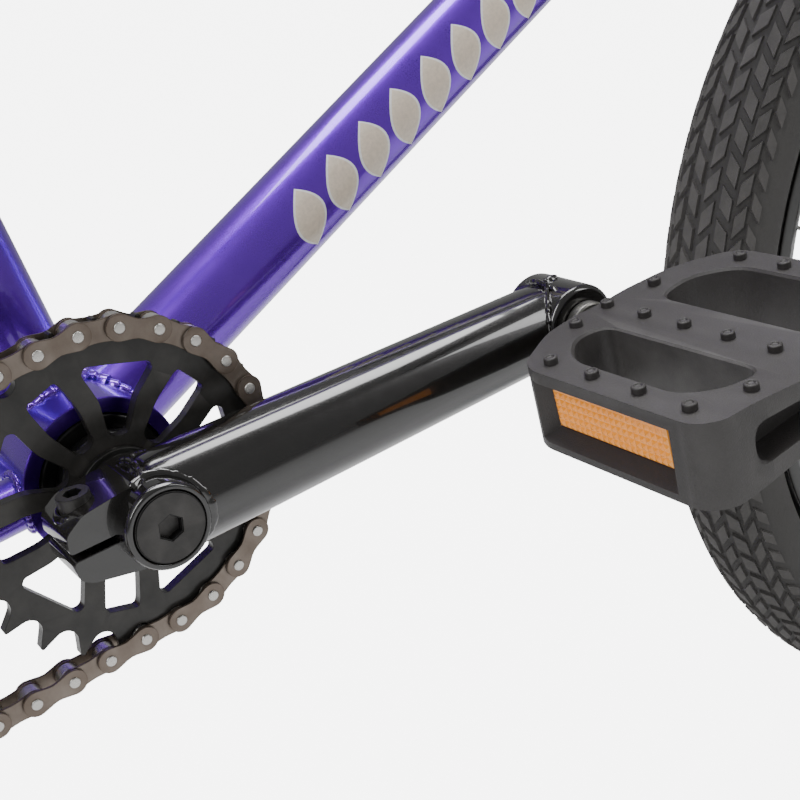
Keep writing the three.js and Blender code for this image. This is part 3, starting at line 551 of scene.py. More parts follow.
piece("seat_tube_painted", loft(seat_rings), "frame", violet, ["seat_tube"])

# %% bottom bracket shell
shell = turned([(21.3, -34), (26.3, -34), (26.3, 34), (21.3, 34), (21.3, -34)], 0.6)
piece("bracket_shell", lathe(shell, BB, Y, 96), "frame", violet, ["bb_shell"])
for name, side in (("right", -1), ("left", 1)):
    face = turned([(21.3, 33.6), (25.9, 33.6), (25.9, 34.25), (21.3, 34.25), (21.3, 33.6)], 0.2)
    piece(f"shell_face_{name}", lathe(face, BB, Y * side, 96), "frame", violet_turned)
    bearing = turned([(9.8, 25), (21, 25), (21, 33.2), (20.2, 34), (15.2, 34), (14.6, 33.2), (9.8, 33.2),
                      (9.8, 25)])
    piece(f"bearing_{name}", lathe(bearing, BB, Y * side, 80), "frame", satin_black,
          [f"bb_bearing_{name}"])

# %% head tube
head = turned([(21, 0), (23.5, 0), (23.5, 9), (20, 13), (20, 100), (23.5, 104), (23.5, 112), (21, 112),
               (21, 103), (17, 100), (17, 12), (21, 9), (21, 0)], 1.2)
piece("head_tube_painted", lathe(head, steer_at(308), STEER_UP, 80), "frame", violet, ["head_tube"])

# %% chainstays, seatstays and the welds of the frame
welds = [bead(down_low, 4.2 * MM, coin=3.5 * MM, seed=1), bead(seat_low, 4.0 * MM, coin=3.5 * MM, seed=2),
         bead(top_low, 2.4 * MM, seed=3),
         bead(down_high, 2.8 * MM, seed=4), bead(top_high, 2.5 * MM, seed=5)]
for name, side in (("right", -1), ("left", 1)):
    low = [bb(0, 22 * side, 0), bb(-76, 31.6 * side, -8), bb(-132, 42.5 * side, -14),
           REAR + Vector((34.4, 58.3 * side, 2)) * MM]
    run = rounded([p for p in low], 20 * MM, 6)
    first = (low[1] - low[0]).normalized()
    start = low[0] + first * 24.5 * MM
    run[0] = start
    sizes = [8.5 - 1.5 * max(0.0, min(1.0, ((p - start).length / MM - 110) / 170)) for p in run]
    piece(f"chainstay_{name}_painted", sweep(run, [s * MM for s in sizes], 40), "frame", violet,
          [f"chainstay_{name}"])
    foot = saddle_cut(low[0], first, 8.5 * MM, BB, Y, SHELL, 1, 48)
    welds.append(bead(foot, 2.3 * MM, seed=6 + side))
    top = seat_at(166)
    high = [top + Vector((0, 9 * side, 0)) * MM, top + Vector((-66, 37 * side, -42)) * MM,
            REAR + Vector((17.6, 58.3 * side, 34.5)) * MM]
    run = rounded(high, 22 * MM, 6)
    second = (high[1] - high[0]).normalized()
    run[0] = high[0] + second * 8 * MM
    sizes = [7.5 - 1.0 * max(0.0, min(1.0, ((p - top).length / MM - 90) / 180)) for p in run]
    piece(f"seatstay_{name}_painted", sweep(run, [s * MM for s in sizes], 40), "frame", violet,
          [f"seatstay_{name}"])
    welds.append(bead(saddle_cut(high[0], second, 7.5 * MM, BB, SEAT_UP, SEAT_R, 1, 48), 2.0 * MM,
                      seed=9 + side))
    for end, size in ((low[-1], 7), (high[-1], 6.5)):
        way = (end - (low[-2] if size == 7 else high[-2])).normalized()
        welds.append(bead(circle(end - way * 1.5 * MM, way, size * MM, 40), 1.7 * MM, seed=12 + size))
piece("frame_welds", merge(*welds), "frame", violet_bead, sharp=60)

# %% [markdown]
# The crank arm is a tapered steel tube with a short turned boss welded across each end. The big
# boss grips the splined spindle: it is slit behind, two ears stand either side of the slit, and a
# socket bolt pulls them together. A broad flat cap bolt fills the boss. The left side is the right
# side turned half a turn and mirrored, which together is simply every point taken through the
# middle of the bottom bracket.

# %% places on the crank
ARM = Vector((PEDAL.x - BB.x, 0, PEDAL.z - BB.z))
ARM_LENGTH = ARM.length
arm_along = ARM.normalized()
arm_across = Vector((-arm_along.z, 0, arm_along.x))


def arm_at(along, across, y):
    """A point on the drive side crank, in millimetres along the arm, across it and out in Y."""
    return BB + (arm_along * along + arm_across * across + Y * y) * MM


def through_bracket(part):
    return [2 * BB - v for v in part[0]], part[1]


def on_arm(x, y, height):
    """Places a plate drawn in (along, across) metres, with its height running outwards."""
    return BB + arm_along * x + arm_across * y - Y * height


LENGTH = ARM_LENGTH / MM
print("crank length", round(LENGTH, 1), "mm")

# %% arm tube, bosses and ears
boss = turned([(9.6, -49.2), (13.0, -49.2), (13.4, -52), (13.4, -81), (12.6, -82.5), (11.35, -82.5),
               (11.1, -82.1),
               (11.1, -79.0), (9.6, -79.0), (9.6, -49.2)], 0.5)
pedal_boss = turned([(7.4, -56), (13.2, -56), (14, -57.2), (14, -80.6), (12.8, -82), (8.4, -82), (7.5, -81.2),
                     (7.4, -56)], 0.6)
tube_line = [arm_at(a, 0, -66 - 1.5 * a / LENGTH) for a in
             (-3.5, -2.6, -0.5, 3.0, 8.0, 60, 110, LENGTH - 12, LENGTH - 4, LENGTH + 2, LENGTH + 6)]
tube_size = [8.0 * MM, 12.0 * MM, 14.6 * MM, 15.9 * MM, 16.2 * MM] + \
    [(16.3 - 2.2 * a / LENGTH) * MM for a in (60, 110, LENGTH - 12)] + [13.8 * MM, 12.6 * MM, 9.0 * MM]


def scratch(name, part):
    """A throw-away object, for cutting."""
    mesh = bpy.data.meshes.new(name)
    mesh.from_pydata([v[:] for v in part[0]], [], part[1])
    work = bmesh.new()
    work.from_mesh(mesh)
    bmesh.ops.recalc_face_normals(work, faces=work.faces[:])
    work.to_mesh(mesh)
    work.free()
    obj = bpy.data.objects.new(name, mesh)
    bpy.context.scene.collection.objects.link(obj)
    return obj


def carved(part, tools):
    """One closed part with others cut out of it."""
    blank = scratch("blank", part)
    used = [scratch("tool", tool) for tool in tools]
    for tool in used:
        cut = blank.modifiers.new("cut", "BOOLEAN")
        cut.operation, cut.solver, cut.object = "DIFFERENCE", "EXACT", tool
    bpy.context.view_layer.update()
    mesh = bpy.data.meshes.new_from_object(blank.evaluated_get(bpy.context.evaluated_depsgraph_get()))
    out = [v.co.copy() for v in mesh.vertices], [list(p.vertices) for p in mesh.polygons]
    for obj in [blank, *used]:
        bpy.data.objects.remove(obj)
    return out


arm_tube = carved(sweep(tube_line, tube_size, 72, arm_across), [
    lathe([(12.4 * MM, -100 * MM), (12.4 * MM, -30 * MM)], BB, Y, 64),
    lathe([(9.0 * MM, -100 * MM), (9.0 * MM, -30 * MM)], arm_at(LENGTH, 0, 0), Y, 64)])


def ears():
    """Two blocks behind the boss with a slit between them, tapered towards their ends."""
    upper = [(0, 1.3), (0, 13.0), (-9.0, 12.6), (-20.5, 11.2), (-26.6, 7.2), (-27.4, 1.3)]
    lower = [(0, -1.3), (-27.2, -1.3), (-27.0, -7.0), (-23.6, -9.6), (-9.0, -12.8), (0, -13.2)]
    blocks = []
    for outline in (upper, lower):
        loop = rounded([Vector((x, y, 0)) * MM for x, y in outline], 1.6 * MM, 3, closed=True)
        blocks.append(plate([(p.x, p.y) for p in loop], [], 53.2 * MM, 74.6 * MM, 0.9 * MM, on_arm))
    return merge(*blocks)


def saddle_round_boss(radius, tube, centre, from_deg, to_deg, middle, side, steps=90):
    """Line on the arm's tube around a boss: side -1 is the outer face of the arm."""
    line = []
    for k in range(steps + 1):
        a = radians(from_deg + (to_deg - from_deg) * k / steps)
        x, z = radius * cos(a), radius * sin(a)
        deep = sqrt(max(tube ** 2 - z ** 2, 0))
        line.append(arm_at(centre + x, z, middle + side * deep))
    return line


arm_welds = merge(
    bead(saddle_round_boss(13.5, 15.6, 0, -112, 112, -66, -1), 1.7 * MM, closed=False, coin=4.2 * MM,
         seed=21),
    bead(saddle_round_boss(13.5, 15.8, 0, -80, 80, -66, 1), 1.5 * MM, closed=False, coin=3.0 * MM, seed=22),
    bead([arm_at(-1.2 + 1.2 * cos(3 * a), 15.2 * cos(a), -66 + 15.2 * sin(a)) for a in
          (radians(d) for d in range(-62, 243, 5))], 1.9 * MM, closed=False, coin=4.0 * MM, seed=25),
    bead(saddle_round_boss(13.9, 13.6, LENGTH, 78, 282, -67.5, -1), 1.7 * MM, closed=False, coin=3.6 * MM,
         seed=23),
    bead([arm_at(LENGTH - 3.2 + 1.4 * cos(a * 2), 14.3 * sin(a), -67.5 - 14.3 * cos(a))
          for a in (radians(d) for d in range(-125, 126, 4))], 1.7 * MM, closed=False, coin=3.4 * MM,
          seed=24),
)
arm = merge(lathe(boss, BB, Y, 96), lathe(pedal_boss, arm_at(LENGTH, 0, 0), Y, 80),
            arm_tube, ears(), arm_welds)

# %% cap bolt with a hexagon socket
hexagon = [(3.9 * MM * cos(tau * k / 6 + 0.35), 3.9 * MM * sin(tau * k / 6 + 0.35)) for k in range(6)]
disc = round_hole(0, 0, 10.75 * MM, 72)
cap_bolt = merge(plate(disc, [hexagon[::-1]], 79.4 * MM, 82.9 * MM, 0.35 * MM, on_arm),
                 plate(round_hole(0, 0, 4.6 * MM, 24), [], 79.3 * MM, 80.0 * MM, 0, on_arm))


def socket_head(foot, axis, head, shank, tall, length, key):
    """A socket head cap screw: a knurled head with a hexagon hole, on a plain shank below."""
    axis = axis.normalized()
    side = axis.orthogonal().normalized()
    up = axis.cross(side)

    def place(x, y, h):
        return foot + side * x + up * y + axis * h
    ridge = [(head * (1 + 0.022 * (k % 2)) * cos(tau * k / 48),
              head * (1 + 0.022 * (k % 2)) * sin(tau * k / 48))
             for k in range(48)]
    hole = [(key * cos(tau * k / 6), key * sin(tau * k / 6)) for k in range(6)]
    return merge(plate(ridge, [hole[::-1]], tall * 0.25, tall, 0.3 * MM, place),
                 plate(round_hole(0, 0, head, 48), [], 0, tall * 0.3, 0.2 * MM, place),
                 lathe([(shank, -length), (shank, 0.1 * MM)], foot, axis, 20))


pinch = socket_head(arm_at(-18.6, 7.4, -64), arm_across, 4.9 * MM, 2.9 * MM, 6.6 * MM, 17 * MM, 2.7 * MM)
seat_ring = lathe(turned([(5.2, 5.6), (7.4, 5.6), (7.4, 8.2), (6.6, 9.8), (5.5, 9.9), (5.2, 5.6)], 0.4),
                  arm_at(-18.6, 0, -64), arm_across, 48)

# %% pedal axles and spindle
axle_row = turned([(0, -59), (6.9, -59), (6.9, -81.8), (8.6, -82.2), (9, -83), (9, -86), (8.2, -86.6),
                   (5, -86.6),
                   (5, -171.5), (0, -172)], 0.3)
pedal_axle = lathe(axle_row, arm_at(LENGTH, 0, 0), Y, 64)
for name, place in (("right", lambda p: p), ("left", through_bracket)):
    piece(f"arm_{name}", merge(place(arm), place(seat_ring)), "crank", gloss_black,
          [f"crank_arm_{name}"], sharp=40)
    piece(f"cap_bolt_{name}", place(cap_bolt), "crank", bolt_black, [f"spindle_bolt_{name}"])
    piece(f"pinch_bolt_head_{name}", place(pinch), "crank", bolt_black, [f"pinch_bolt_{name}"])
    piece(f"axle_{name}", place(pedal_axle), "crank", dull_steel, [f"pedal_axle_{name}"])
rod_row = turned([(0, -78.6), (9.5, -78.6), (9.5, -48.8), (14, -48.8), (14, -46.3), (9.5, -46.3),
                  (9.5, -40.9),
                  (16.2, -40.9), (16.8, -40.2), (16.8, -36.2), (16.2, -34.6), (9.5, -34.6), (9.5, 34.6),
                  (16.4, 34.6),
                  (16.4, 38), (13, 40), (13, 48.8), (9.5, 48.8), (9.5, 78.6), (0, 78.6)], 0.4)
piece("spindle_turned", lathe(rod_row, BB, Y, 80), "crank", satin_black, ["spindle"])

# %% [markdown]
# The sprocket is a flat steel plate with 25 teeth. Each gap is a round seat that holds one roller,
# and each tooth is what is left between two seats, leaned in to a narrow tip. Ten windows lighten
# it: wide and narrow ones by turns, each running in parallel and then drawing together towards the
# hub. The turn of the plate matters, because the seats have to lie under the chain's pins.

# %% sprocket outline
TEETH, COG_TEETH, PITCH = 25, 9, 12.7 * MM
SPROCKET_R, COG_R = PITCH / (2 * sin(pi / TEETH)), PITCH / (2 * sin(pi / COG_TEETH))
PHASE = radians(109.8)
CHAIN_Y = 43.5 * MM


def toothed(teeth, radius, phase, steps=9):
    """Round seats joined by narrow tips."""
    step, points = tau / teeth, []
    for k in range(teeth):
        a = phase + k * step
        gap = Vector((radius * cos(a), radius * sin(a)))
        for i in range(steps):
            lean = a + pi + radians(66 - 132 * i / (steps - 1))
            points.append(gap + 4.05 * MM * Vector((cos(lean), sin(lean))))
        for part, out in ((0.425, 2.3), (0.455, 3.35), (0.49, 3.6), (0.51, 3.6), (0.545, 3.35), (0.575, 2.3)):
            b = a + part * step
            points.append((radius + out * MM) * Vector((cos(b), sin(b))))
    return [tuple(p) for p in points]


def window(angle, rim, kink):
    """A spoke window with rounded corners."""
    rows = [(40.6, rim * 0.90), (38.6, rim), (29, kink), (18.4, 3.3), (17.0, 1.2)]
    corners = [(r, w) for r, w in rows] + [(r, -w) for r, w in rows[::-1]]
    loop = []
    for r, w in corners:
        reach = sqrt(r * r - w * w)
        loop.append(Vector((reach * cos(angle) - w * sin(angle), reach * sin(angle) + w * cos(angle),
                            0)) * MM)
    return [(p.x, p.y) for p in rounded(loop, 2.2 * MM, 4, closed=True)]


def upright(x, y, height):
    """Places a plate drawn in (X, Z) about the bottom bracket, its height running outwards."""
    return BB + Vector((x, -height, y))


# %% sprocket
holes = [round_hole(0, 0, 9.9 * MM, 48)]
for k in range(5):
    wide = PHASE - radians(28.8) + radians(72 * k)
    holes += [window(wide, 11.3, 5.9), window(wide + radians(36), 5.7, 5.6)]
sprocket = plate(toothed(TEETH, SPROCKET_R, PHASE), [h[::-1] for h in holes], 41.5 * MM, 45.5 * MM,
                 0.32 * MM, upright)
piece("sprocket_plate", sprocket, "crank", satin_black, ["sprocket"], sharp=28, flat=True)
print("sprocket pitch radius", round(SPROCKET_R / MM, 2), "mm")

# %% [markdown]
# A chain is laid by walking: from a pin that sits in a sprocket seat, each next pin is one pitch
# away on the loop round sprocket and cog. The loop must hold a whole number of links, and what is
# left over hangs as slack in the lower run, as on the road. Outer and inner plates alternate, each
# a figure of eight, with a roller and a riveted pin at every joint.

# %% the loop and its pins
back = REAR - BB
reach = Vector((back.x, back.z)).length
ahead = atan2(-back.z, -back.x)
wrap = pi / 2 + asin((SPROCKET_R - COG_R) / reach)


def chain_line(slack):
    """Points in (X, Z) about the bottom bracket, clockwise from the top of the sprocket."""
    points = [SPROCKET_R * Vector((cos(a), sin(a))) for a in
              (PHASE - tau / TEETH - (PHASE - tau / TEETH - ahead + wrap) * k / 400 for k in range(401))]
    low_from, low_to = points[-1], Vector((back.x, back.z)) + COG_R * Vector((cos(ahead - wrap),
        sin(ahead - wrap)))
    points += [low_from.lerp(low_to, t) - Vector((0,
                                                  slack * 4 * t * (1 - t))) for t in (k / 300 for k
                                                          in range(1, 301))]
    points += [Vector((back.x, back.z)) + COG_R * Vector((cos(a), sin(a))) for a in
               (ahead - wrap - (tau - 2 * wrap) * k / 200 for k in range(1, 201))]
    top = SPROCKET_R * Vector((cos(ahead + wrap), sin(ahead + wrap)))
    points += [points[-1].lerp(top, k / 300) for k in range(1, 301)]
    points += [SPROCKET_R * Vector((cos(a), sin(a))) for a in
               (ahead + wrap - (ahead + wrap - PHASE + tau / TEETH) * k / 20 for k in range(1, 21))]
    return points


def walk(line, count):
    """Pins one pitch apart, and how far along the line the last one falls."""
    pins, at, j = [line[0]], line[0], 0
    while len(pins) <= count and j < len(line) - 1:
        if (line[j + 1] - at).length < PITCH:
            j += 1
            continue
        a, b = line[j], line[j + 1]
        low, high = 0.0, 1.0
        for _ in range(30):
            middle = (low + high) / 2
            low, high = (middle, high) if (a.lerp(b, middle) - at).length < PITCH else (low, middle)
        at = a.lerp(b, high)
        pins.append(at)
    return pins, len(pins) - 1 + (line[-1] - pins[-1]).length / PITCH


LINKS = 72
low, high = 0.0, 30 * MM
for _ in range(24):
    slack = (low + high) / 2
    low, high = (slack, high) if walk(chain_line(slack), LINKS)[1] < LINKS else (low, slack)
pins = walk(chain_line(slack), LINKS)[0][:LINKS]
print(len(pins), "pins, slack", round(slack / MM, 1), "mm in the lower run")


# %% plates, rollers and rivets
def link_outline(end, waist, steps=9):
    """A figure of eight between two pin holes one pitch apart, drawn from the middle of the link."""
    half, loop = PITCH / 2, []
    for side in (1, -1):
        for i in range(steps):
            a = radians(-118 + 236 * i / (steps - 1)) + (0 if side > 0 else pi)
            loop.append(Vector((side * half + end * cos(a), end * sin(a), 0)))
        loop.append(Vector((0, side * waist, 0)))
    return [(p.x, p.y) for p in rounded(loop, 1.6 * MM, 2, closed=True)]


def link_at(a, b):
    """Places a plate drawn on a link between pins a and b."""
    middle, way = (a + b) / 2, (b - a).normalized()

    def place(x, y, height):
        spot = middle + way * x + Vector((-way.y, way.x)) * y
        return BB + Vector((spot.x, -height, spot.y))
    return place


outer_shape, inner_shape = link_outline(4.35 * MM, 2.75 * MM), link_outline(4.25 * MM, 3.3 * MM)
flat_plate = {}
for kind, shape, layers in (("outer", outer_shape, ((3.45, 4.45), (-4.45, -3.45))),
                            ("inner", inner_shape, ((2.4, 3.35), (-3.35, -2.4)))):
    flat_plate[kind] = merge(*[plate(shape, [], l * MM, h * MM, 0.22 * MM, lambda x, y, z: (x, y, z))
                               for l, h in layers])
plates, rollers, rivets = [], [], []
pin_row = turned([(0, -4.95), (1.55, -4.95), (1.8, -4.75), (1.8, 4.75), (1.55, 4.95), (0, 4.95)], 0.15)
roll_row = turned([(1.9, -2.35), (3.75, -2.35), (3.95, -2.1), (3.95, 2.1), (3.75, 2.35), (1.9, 2.35),
                   (1.9, -2.35)], 0.2)
for k, pin in enumerate(pins):
    after = pins[(k + 1) % LINKS]
    place = link_at(pin, after)
    kind = "outer" if k % 2 else "inner"
    verts, faces = flat_plate[kind]
    plates.append(([place(v.x, v.y, CHAIN_Y + v.z) for v in verts], faces))
    spot = BB + Vector((pin.x, -CHAIN_Y, pin.y))
    rollers.append(lathe(roll_row, spot, Y, 20))
    rivets.append(lathe(pin_row, spot, Y, 16))
piece("chain_plates", merge(*plates), "frame", chain_brown, ["chain"], sharp=28)
piece("chain_rollers", merge(*rollers), "frame", rivet_steel)
piece("chain_pins", merge(*rivets), "frame", rivet_steel)

# %% [markdown]
# The pedals are one moulding each: a platform with two windows either side of the axle barrel, a
# shallow dish across it, a row of studs front, middle and rear, and a pocket front and rear for an
# amber reflector. The body starts as a thick bevelled plate. Pockets and windows are cut out of it
# with flared cutters, so that every cut edge gets its small chamfer in the same stroke, and the
# platform is dished last by drawing it thinner over the axle.

# %% pedal body
CAD_TILT = radians(9.7)


def flared(loop, low, high, flare):
    """A cutter between two heights whose mouth widens by `flare` at both ends."""
    loop = [Vector((x, y)) for x, y in loop]
    middle = sum(loop, Vector((0, 0))) / len(loop)

    def grown(by):
        out = []
        for k, p in enumerate(loop):
            way = (loop[(k + 1) % len(loop)] - loop[k - 1]).normalized()
            normal = Vector((way.y, -way.x))
            out.append(p + normal * (by if (p - middle).dot(normal) > 0 else -by))
        return out
    rows = [(low - 3 * MM, flare + 3 * MM), (low + flare, 0), (high - flare, 0),
            (high + 3 * MM, flare + 3 * MM)]
    return [[Vector((p.x, p.y, h)) for p in grown(by)] for h, by in rows]


def soft_loop(points, size, steps=4):
    return [(p.x, p.y) for p in rounded([Vector((x, y, 0)) * MM for x, y in points], size * MM, steps,
                                        closed=True)]


half = [(-10, 92), (10, 92), (26, 97), (45, 108), (48, 114), (48, 178), (42, 184)]
outline = soft_loop(half + [(-x, w) for x, w in half[:1:-1]], 5)
blank_plate = plate(outline, [], -13.4 * MM, 13.4 * MM, 1.5 * MM, lambda x, y, z: (x, y, z))
cutters = []
for side in (1, -1):
    hole = [(12, 108), (25, 108.5), (36.5, 120), (36.5, 163), (28, 170.5), (12, 171)]
    loop = soft_loop([(x * side, w) for x, w in hole][::side], 7, 6)
    cutters.append(loft(flared(loop, -13.4 * MM, 13.4 * MM, 0.8 * MM)))
    pocket = [[Vector((side * (48.6 + 4), w, n)) * MM for w,
               n in ((109.6, -13), (172.0, -13), (172.0, 10.4), (109.6, 10.4))],
              [Vector((side * 48.1, w, n)) * MM for w,
               n in ((112.0, -10.9), (169.6, -10.9), (169.6, 9.4), (112.0, 9.4))],
              [Vector((side * 42.2, w, n)) * MM for w,
               n in ((116.4, -7.4), (165.0, -7.4), (165.0, 9.0), (116.4, 9.0))]]
    cutters.append(loft(pocket))
slot_loop = soft_loop([(-31, -6.6), (31, -6.6), (31, 6.6), (-31, 6.6)], 6, 6)
cutters.append(loft([[Vector((x * s, w * MM, n * s)) for x, n in slot_loop]
                     for w, s in ((190, 1.16), (184.2, 1.06), (183.2, 1.0), (174.8, 0.96))]))
cutters.append(lathe([(5.3 * MM, 80 * MM), (5.3 * MM, 173.5 * MM)], Vector(), Y, 32))
shaped = carved(blank_plate, cutters)
print("pedal body", len(shaped[0]), "points")


# %% dish and studs
def dish(u):
    """Share of the full thickness that the platform keeps at a distance from the axle."""
    t = min(abs(u) / (38 * MM), 1.0)
    return 0.76 + 0.24 * t * t * (3 - 2 * t)


blank_mesh = bpy.data.meshes.new("pedal_blank")
blank_mesh.from_pydata([v[:] for v in shaped[0]], [], shaped[1])
work = bmesh.new()
work.from_mesh(blank_mesh)
for u in (-42, -34, -26, -19, -12, -6, 0, 6, 12, 19, 26, 34, 42):
    bmesh.ops.bisect_plane(work, geom=work.verts[:] + work.edges[:] + work.faces[:],
                           plane_co=(u * MM, 0, 0), plane_no=(1, 0, 0))
for v in work.verts:
    v.co.z *= dish(v.co.x)
work.verts.index_update()
moulding = [v.co.copy() for v in work.verts], [[v.index for v in f.verts] for f in work.faces]
work.free()
stud_row = turned([(0, -2), (2.25, -2), (2.15, 1.9), (1.75, 2.2), (1.35, 2.2), (1.0, 1.75), (0, 1.7)], 0.2)
spots = [(u, w) for u in (-41.5, 41.5) for w in (116, 134, 153, 172)] + [(0, w) for w in (113, 130, 147.5,
    165)]
spots += [(-17.5, 100.3), (17.5, 100.3), (0, 96), (-24, 177.5), (24, 177.5), (0, 178)]
studs = []
for u, w in spots:
    for way in (1, -1):
        foot = Vector((u, w, way * 13.4 * dish(u * MM))) * MM
        studs.append(lathe(stud_row, foot, Vector((0, 0, way)), 20))
barrel = lathe(turned([(5.4, 95), (9.6, 97), (9.6, 171), (5.4, 172.5), (5.4, 95)], 1.0), Vector(), Y, 56)
rib = plate([(-2.0 * MM, -7 * MM), (2.0 * MM, -7 * MM), (2.0 * MM, 7 * MM), (-2.0 * MM, 7 * MM)], [],
            173 * MM, 182 * MM, 0.5 * MM,
            lambda x, y, z: (x + 9 * MM, z, y))
moulding = merge(moulding, barrel, rib, *studs)


# %% reflector with corner prisms
def reflector(side):
    """An amber face with rows of small pyramids, leaning a little at its top."""
    across, rows, low, high, start, stop = 20, 6, -6.6, 7.9, 117.2, 164.2
    verts, faces = [], []
    for j in range(rows + 1):
        for i in range(across + 1):
            n = low + (high - low) * j / rows
            verts.append(Vector((side * (43.9 - 0.03 * (high - n)), start + (stop - start) * i / across,
                                 n)) * MM)
    for j in range(rows):
        for i in range(across):
            a = j * (across + 1) + i
            corners = [a, a + 1, a + across + 2, a + across + 1]
            verts.append(sum((verts[c] for c in corners), Vector()) / 4 + Vector((side * 0.55 * MM, 0, 0)))
            top = len(verts) - 1
            faces += [[corners[m], corners[(m + 1) % 4], top] for m in range(4)]
    base = len(verts)
    verts += [Vector((side * 41.0, w, n)) * MM for w,
              n in ((start, low), (stop, low), (stop, high), (start, high))]
    edge = [0, across, (rows + 1) * (across + 1) - 1, rows * (across + 1)]
    ring_points = [list(range(0, across + 1)), [across + (across + 1) * j for j in range(rows + 1)],
                   [(rows + 1) * (across + 1) - 1 - i for i in range(across + 1)],
                   [rows * (across + 1) - (across + 1) * j for j in range(rows + 1)]]
    for m in range(4):
        faces.append(ring_points[m][::-1] + [base + m, base + (m + 1) % 4])
    faces.append([base, base + 3, base + 2, base + 1])
    return verts, faces


def pedal_place(tilt, centre, side):
    """From (u ahead, w outwards, n up) to the bike; side is -1 on the drive side."""
    matrix = Matrix(((cos(tilt), 0, -sin(tilt)), (0, side, 0), (sin(tilt), 0, cos(tilt)))).to_4x4()
    return Matrix.Translation(centre) @ matrix


for name, tilt, centre, side in (("right", CAD_TILT, PEDAL, -1), ("left", 0.0, 2 * BB - PEDAL, 1)):
    where = pedal_place(tilt, Vector((centre.x, 0, centre.z)), side)
    piece(f"pedal_{name}_moulding", moved(moulding, where), f"pedal_{name}", pedal_plastic,
          [f"pedal_{name}"],
          sharp=34, flat=True)
    for label, way in (("rear", -1), ("front", 1)):
        piece(f"reflector_{label}_{name}", moved(reflector(way), where), f"pedal_{name}", amber_lens_painted_glow,
              [f"pedal_reflector_{label}_{name}"], sharp=10)

# %% [markdown]
# The down tube carries a printed pattern, cream with a thin white edge: a row of leaning, pointed
# leaves. Print lies on the paint and follows the tube, so each leaf is drawn flat, in distance along
# the tube and round it, and then wrapped on to a cylinder a hair larger than the tube.

# %% print on the down tube
down_side = down_dir.cross(Y).normalized()           # square to the tube, in the bike's plane


def on_down_tube(along, around, lift, side):
    """A point on the tube: distance along, distance round from the side line, height above the paint."""
    a = around / DOWN_R
    radius = DOWN_R + lift
    return down_foot + down_dir * along + radius * (Y * side * cos(a) + down_side * sin(a))


def wrapped(loop, holes, lift, side):
    """A thin printed shape, cut into narrow strips so that it bends round the tube."""
    work = bmesh.new()
    for ring in [loop, *holes]:
        points = [work.verts.new((x * MM, y * MM, 0)) for x, y in ring]
        for a, b in zip(points, points[1:] + points[:1]):
            work.edges.new((a, b))
    bmesh.ops.triangle_fill(work, use_beauty=True, edges=work.edges[:])
    for n in range(-14, 15):
        bmesh.ops.bisect_plane(work, geom=work.verts[:] + work.edges[:] + work.faces[:],
                               plane_co=(0, n * 1.1 * MM, 0), plane_no=(0, 1, 0))
    made = bmesh.ops.extrude_face_region(work, geom=work.faces[:])["geom"]
    bmesh.ops.translate(work, verts=[g for g in made if isinstance(g, bmesh.types.BMVert)],
                        vec=(0, 0, lift * MM))
    work.verts.index_update()
    part = [on_down_tube(v.co.x, v.co.y, v.co.z + 0.02 * MM, side) for v in work.verts]
    part = part, [[v.index for v in f.verts] for f in work.faces]
    work.free()
    return part


LEAF_HALF, LEAF_TALL, LEAF_LEAN, LEAF_STEP = 6.2, 20.5, 6.0, 17.0


def leaf(x, grow=0.0, steps=14):
    """A pointed oval that leans up the tube, outlined once round."""
    low, tall, half = 1 - LEAF_TALL / 2 - grow, LEAF_TALL + 2 * grow, LEAF_HALF + grow

    def at(t, way):
        return x + LEAF_LEAN * (t - 0.5) + way * half * sin(pi * t), low + tall * t

    return [at(k / steps, 1) for k in range(steps + 1)] + [at(k / steps, -1) for k in range(steps - 1, 0, -1)]


cream, white = [], []
for side in (-1, 1):
    for k in range(11):
        white.append(wrapped(leaf(112 + LEAF_STEP * k, 0.9), [], 0.05, side))
        cream.append(wrapped(leaf(112 + LEAF_STEP * k), [], 0.08, side))
print(len(cream), "leaves printed")
piece("print_edge_white", merge(*white), "frame", white_print)
piece("print_cream", merge(*cream), "frame", cream_print)

# %% [markdown]
# A 20 inch wheel is a hub, 36 crossed spokes, a box-section rim and a fat tyre. The tyre is turned
# as a smooth carcass first; its tread is then hundreds of small blocks in staggered rows, because
# the ragged outline of those blocks against the light is what makes a tyre read as rubber.

# %% tyre
TYRE_R, BEAD_R, TYRE_HALF = 254 * MM, 206 * MM, 25 * MM


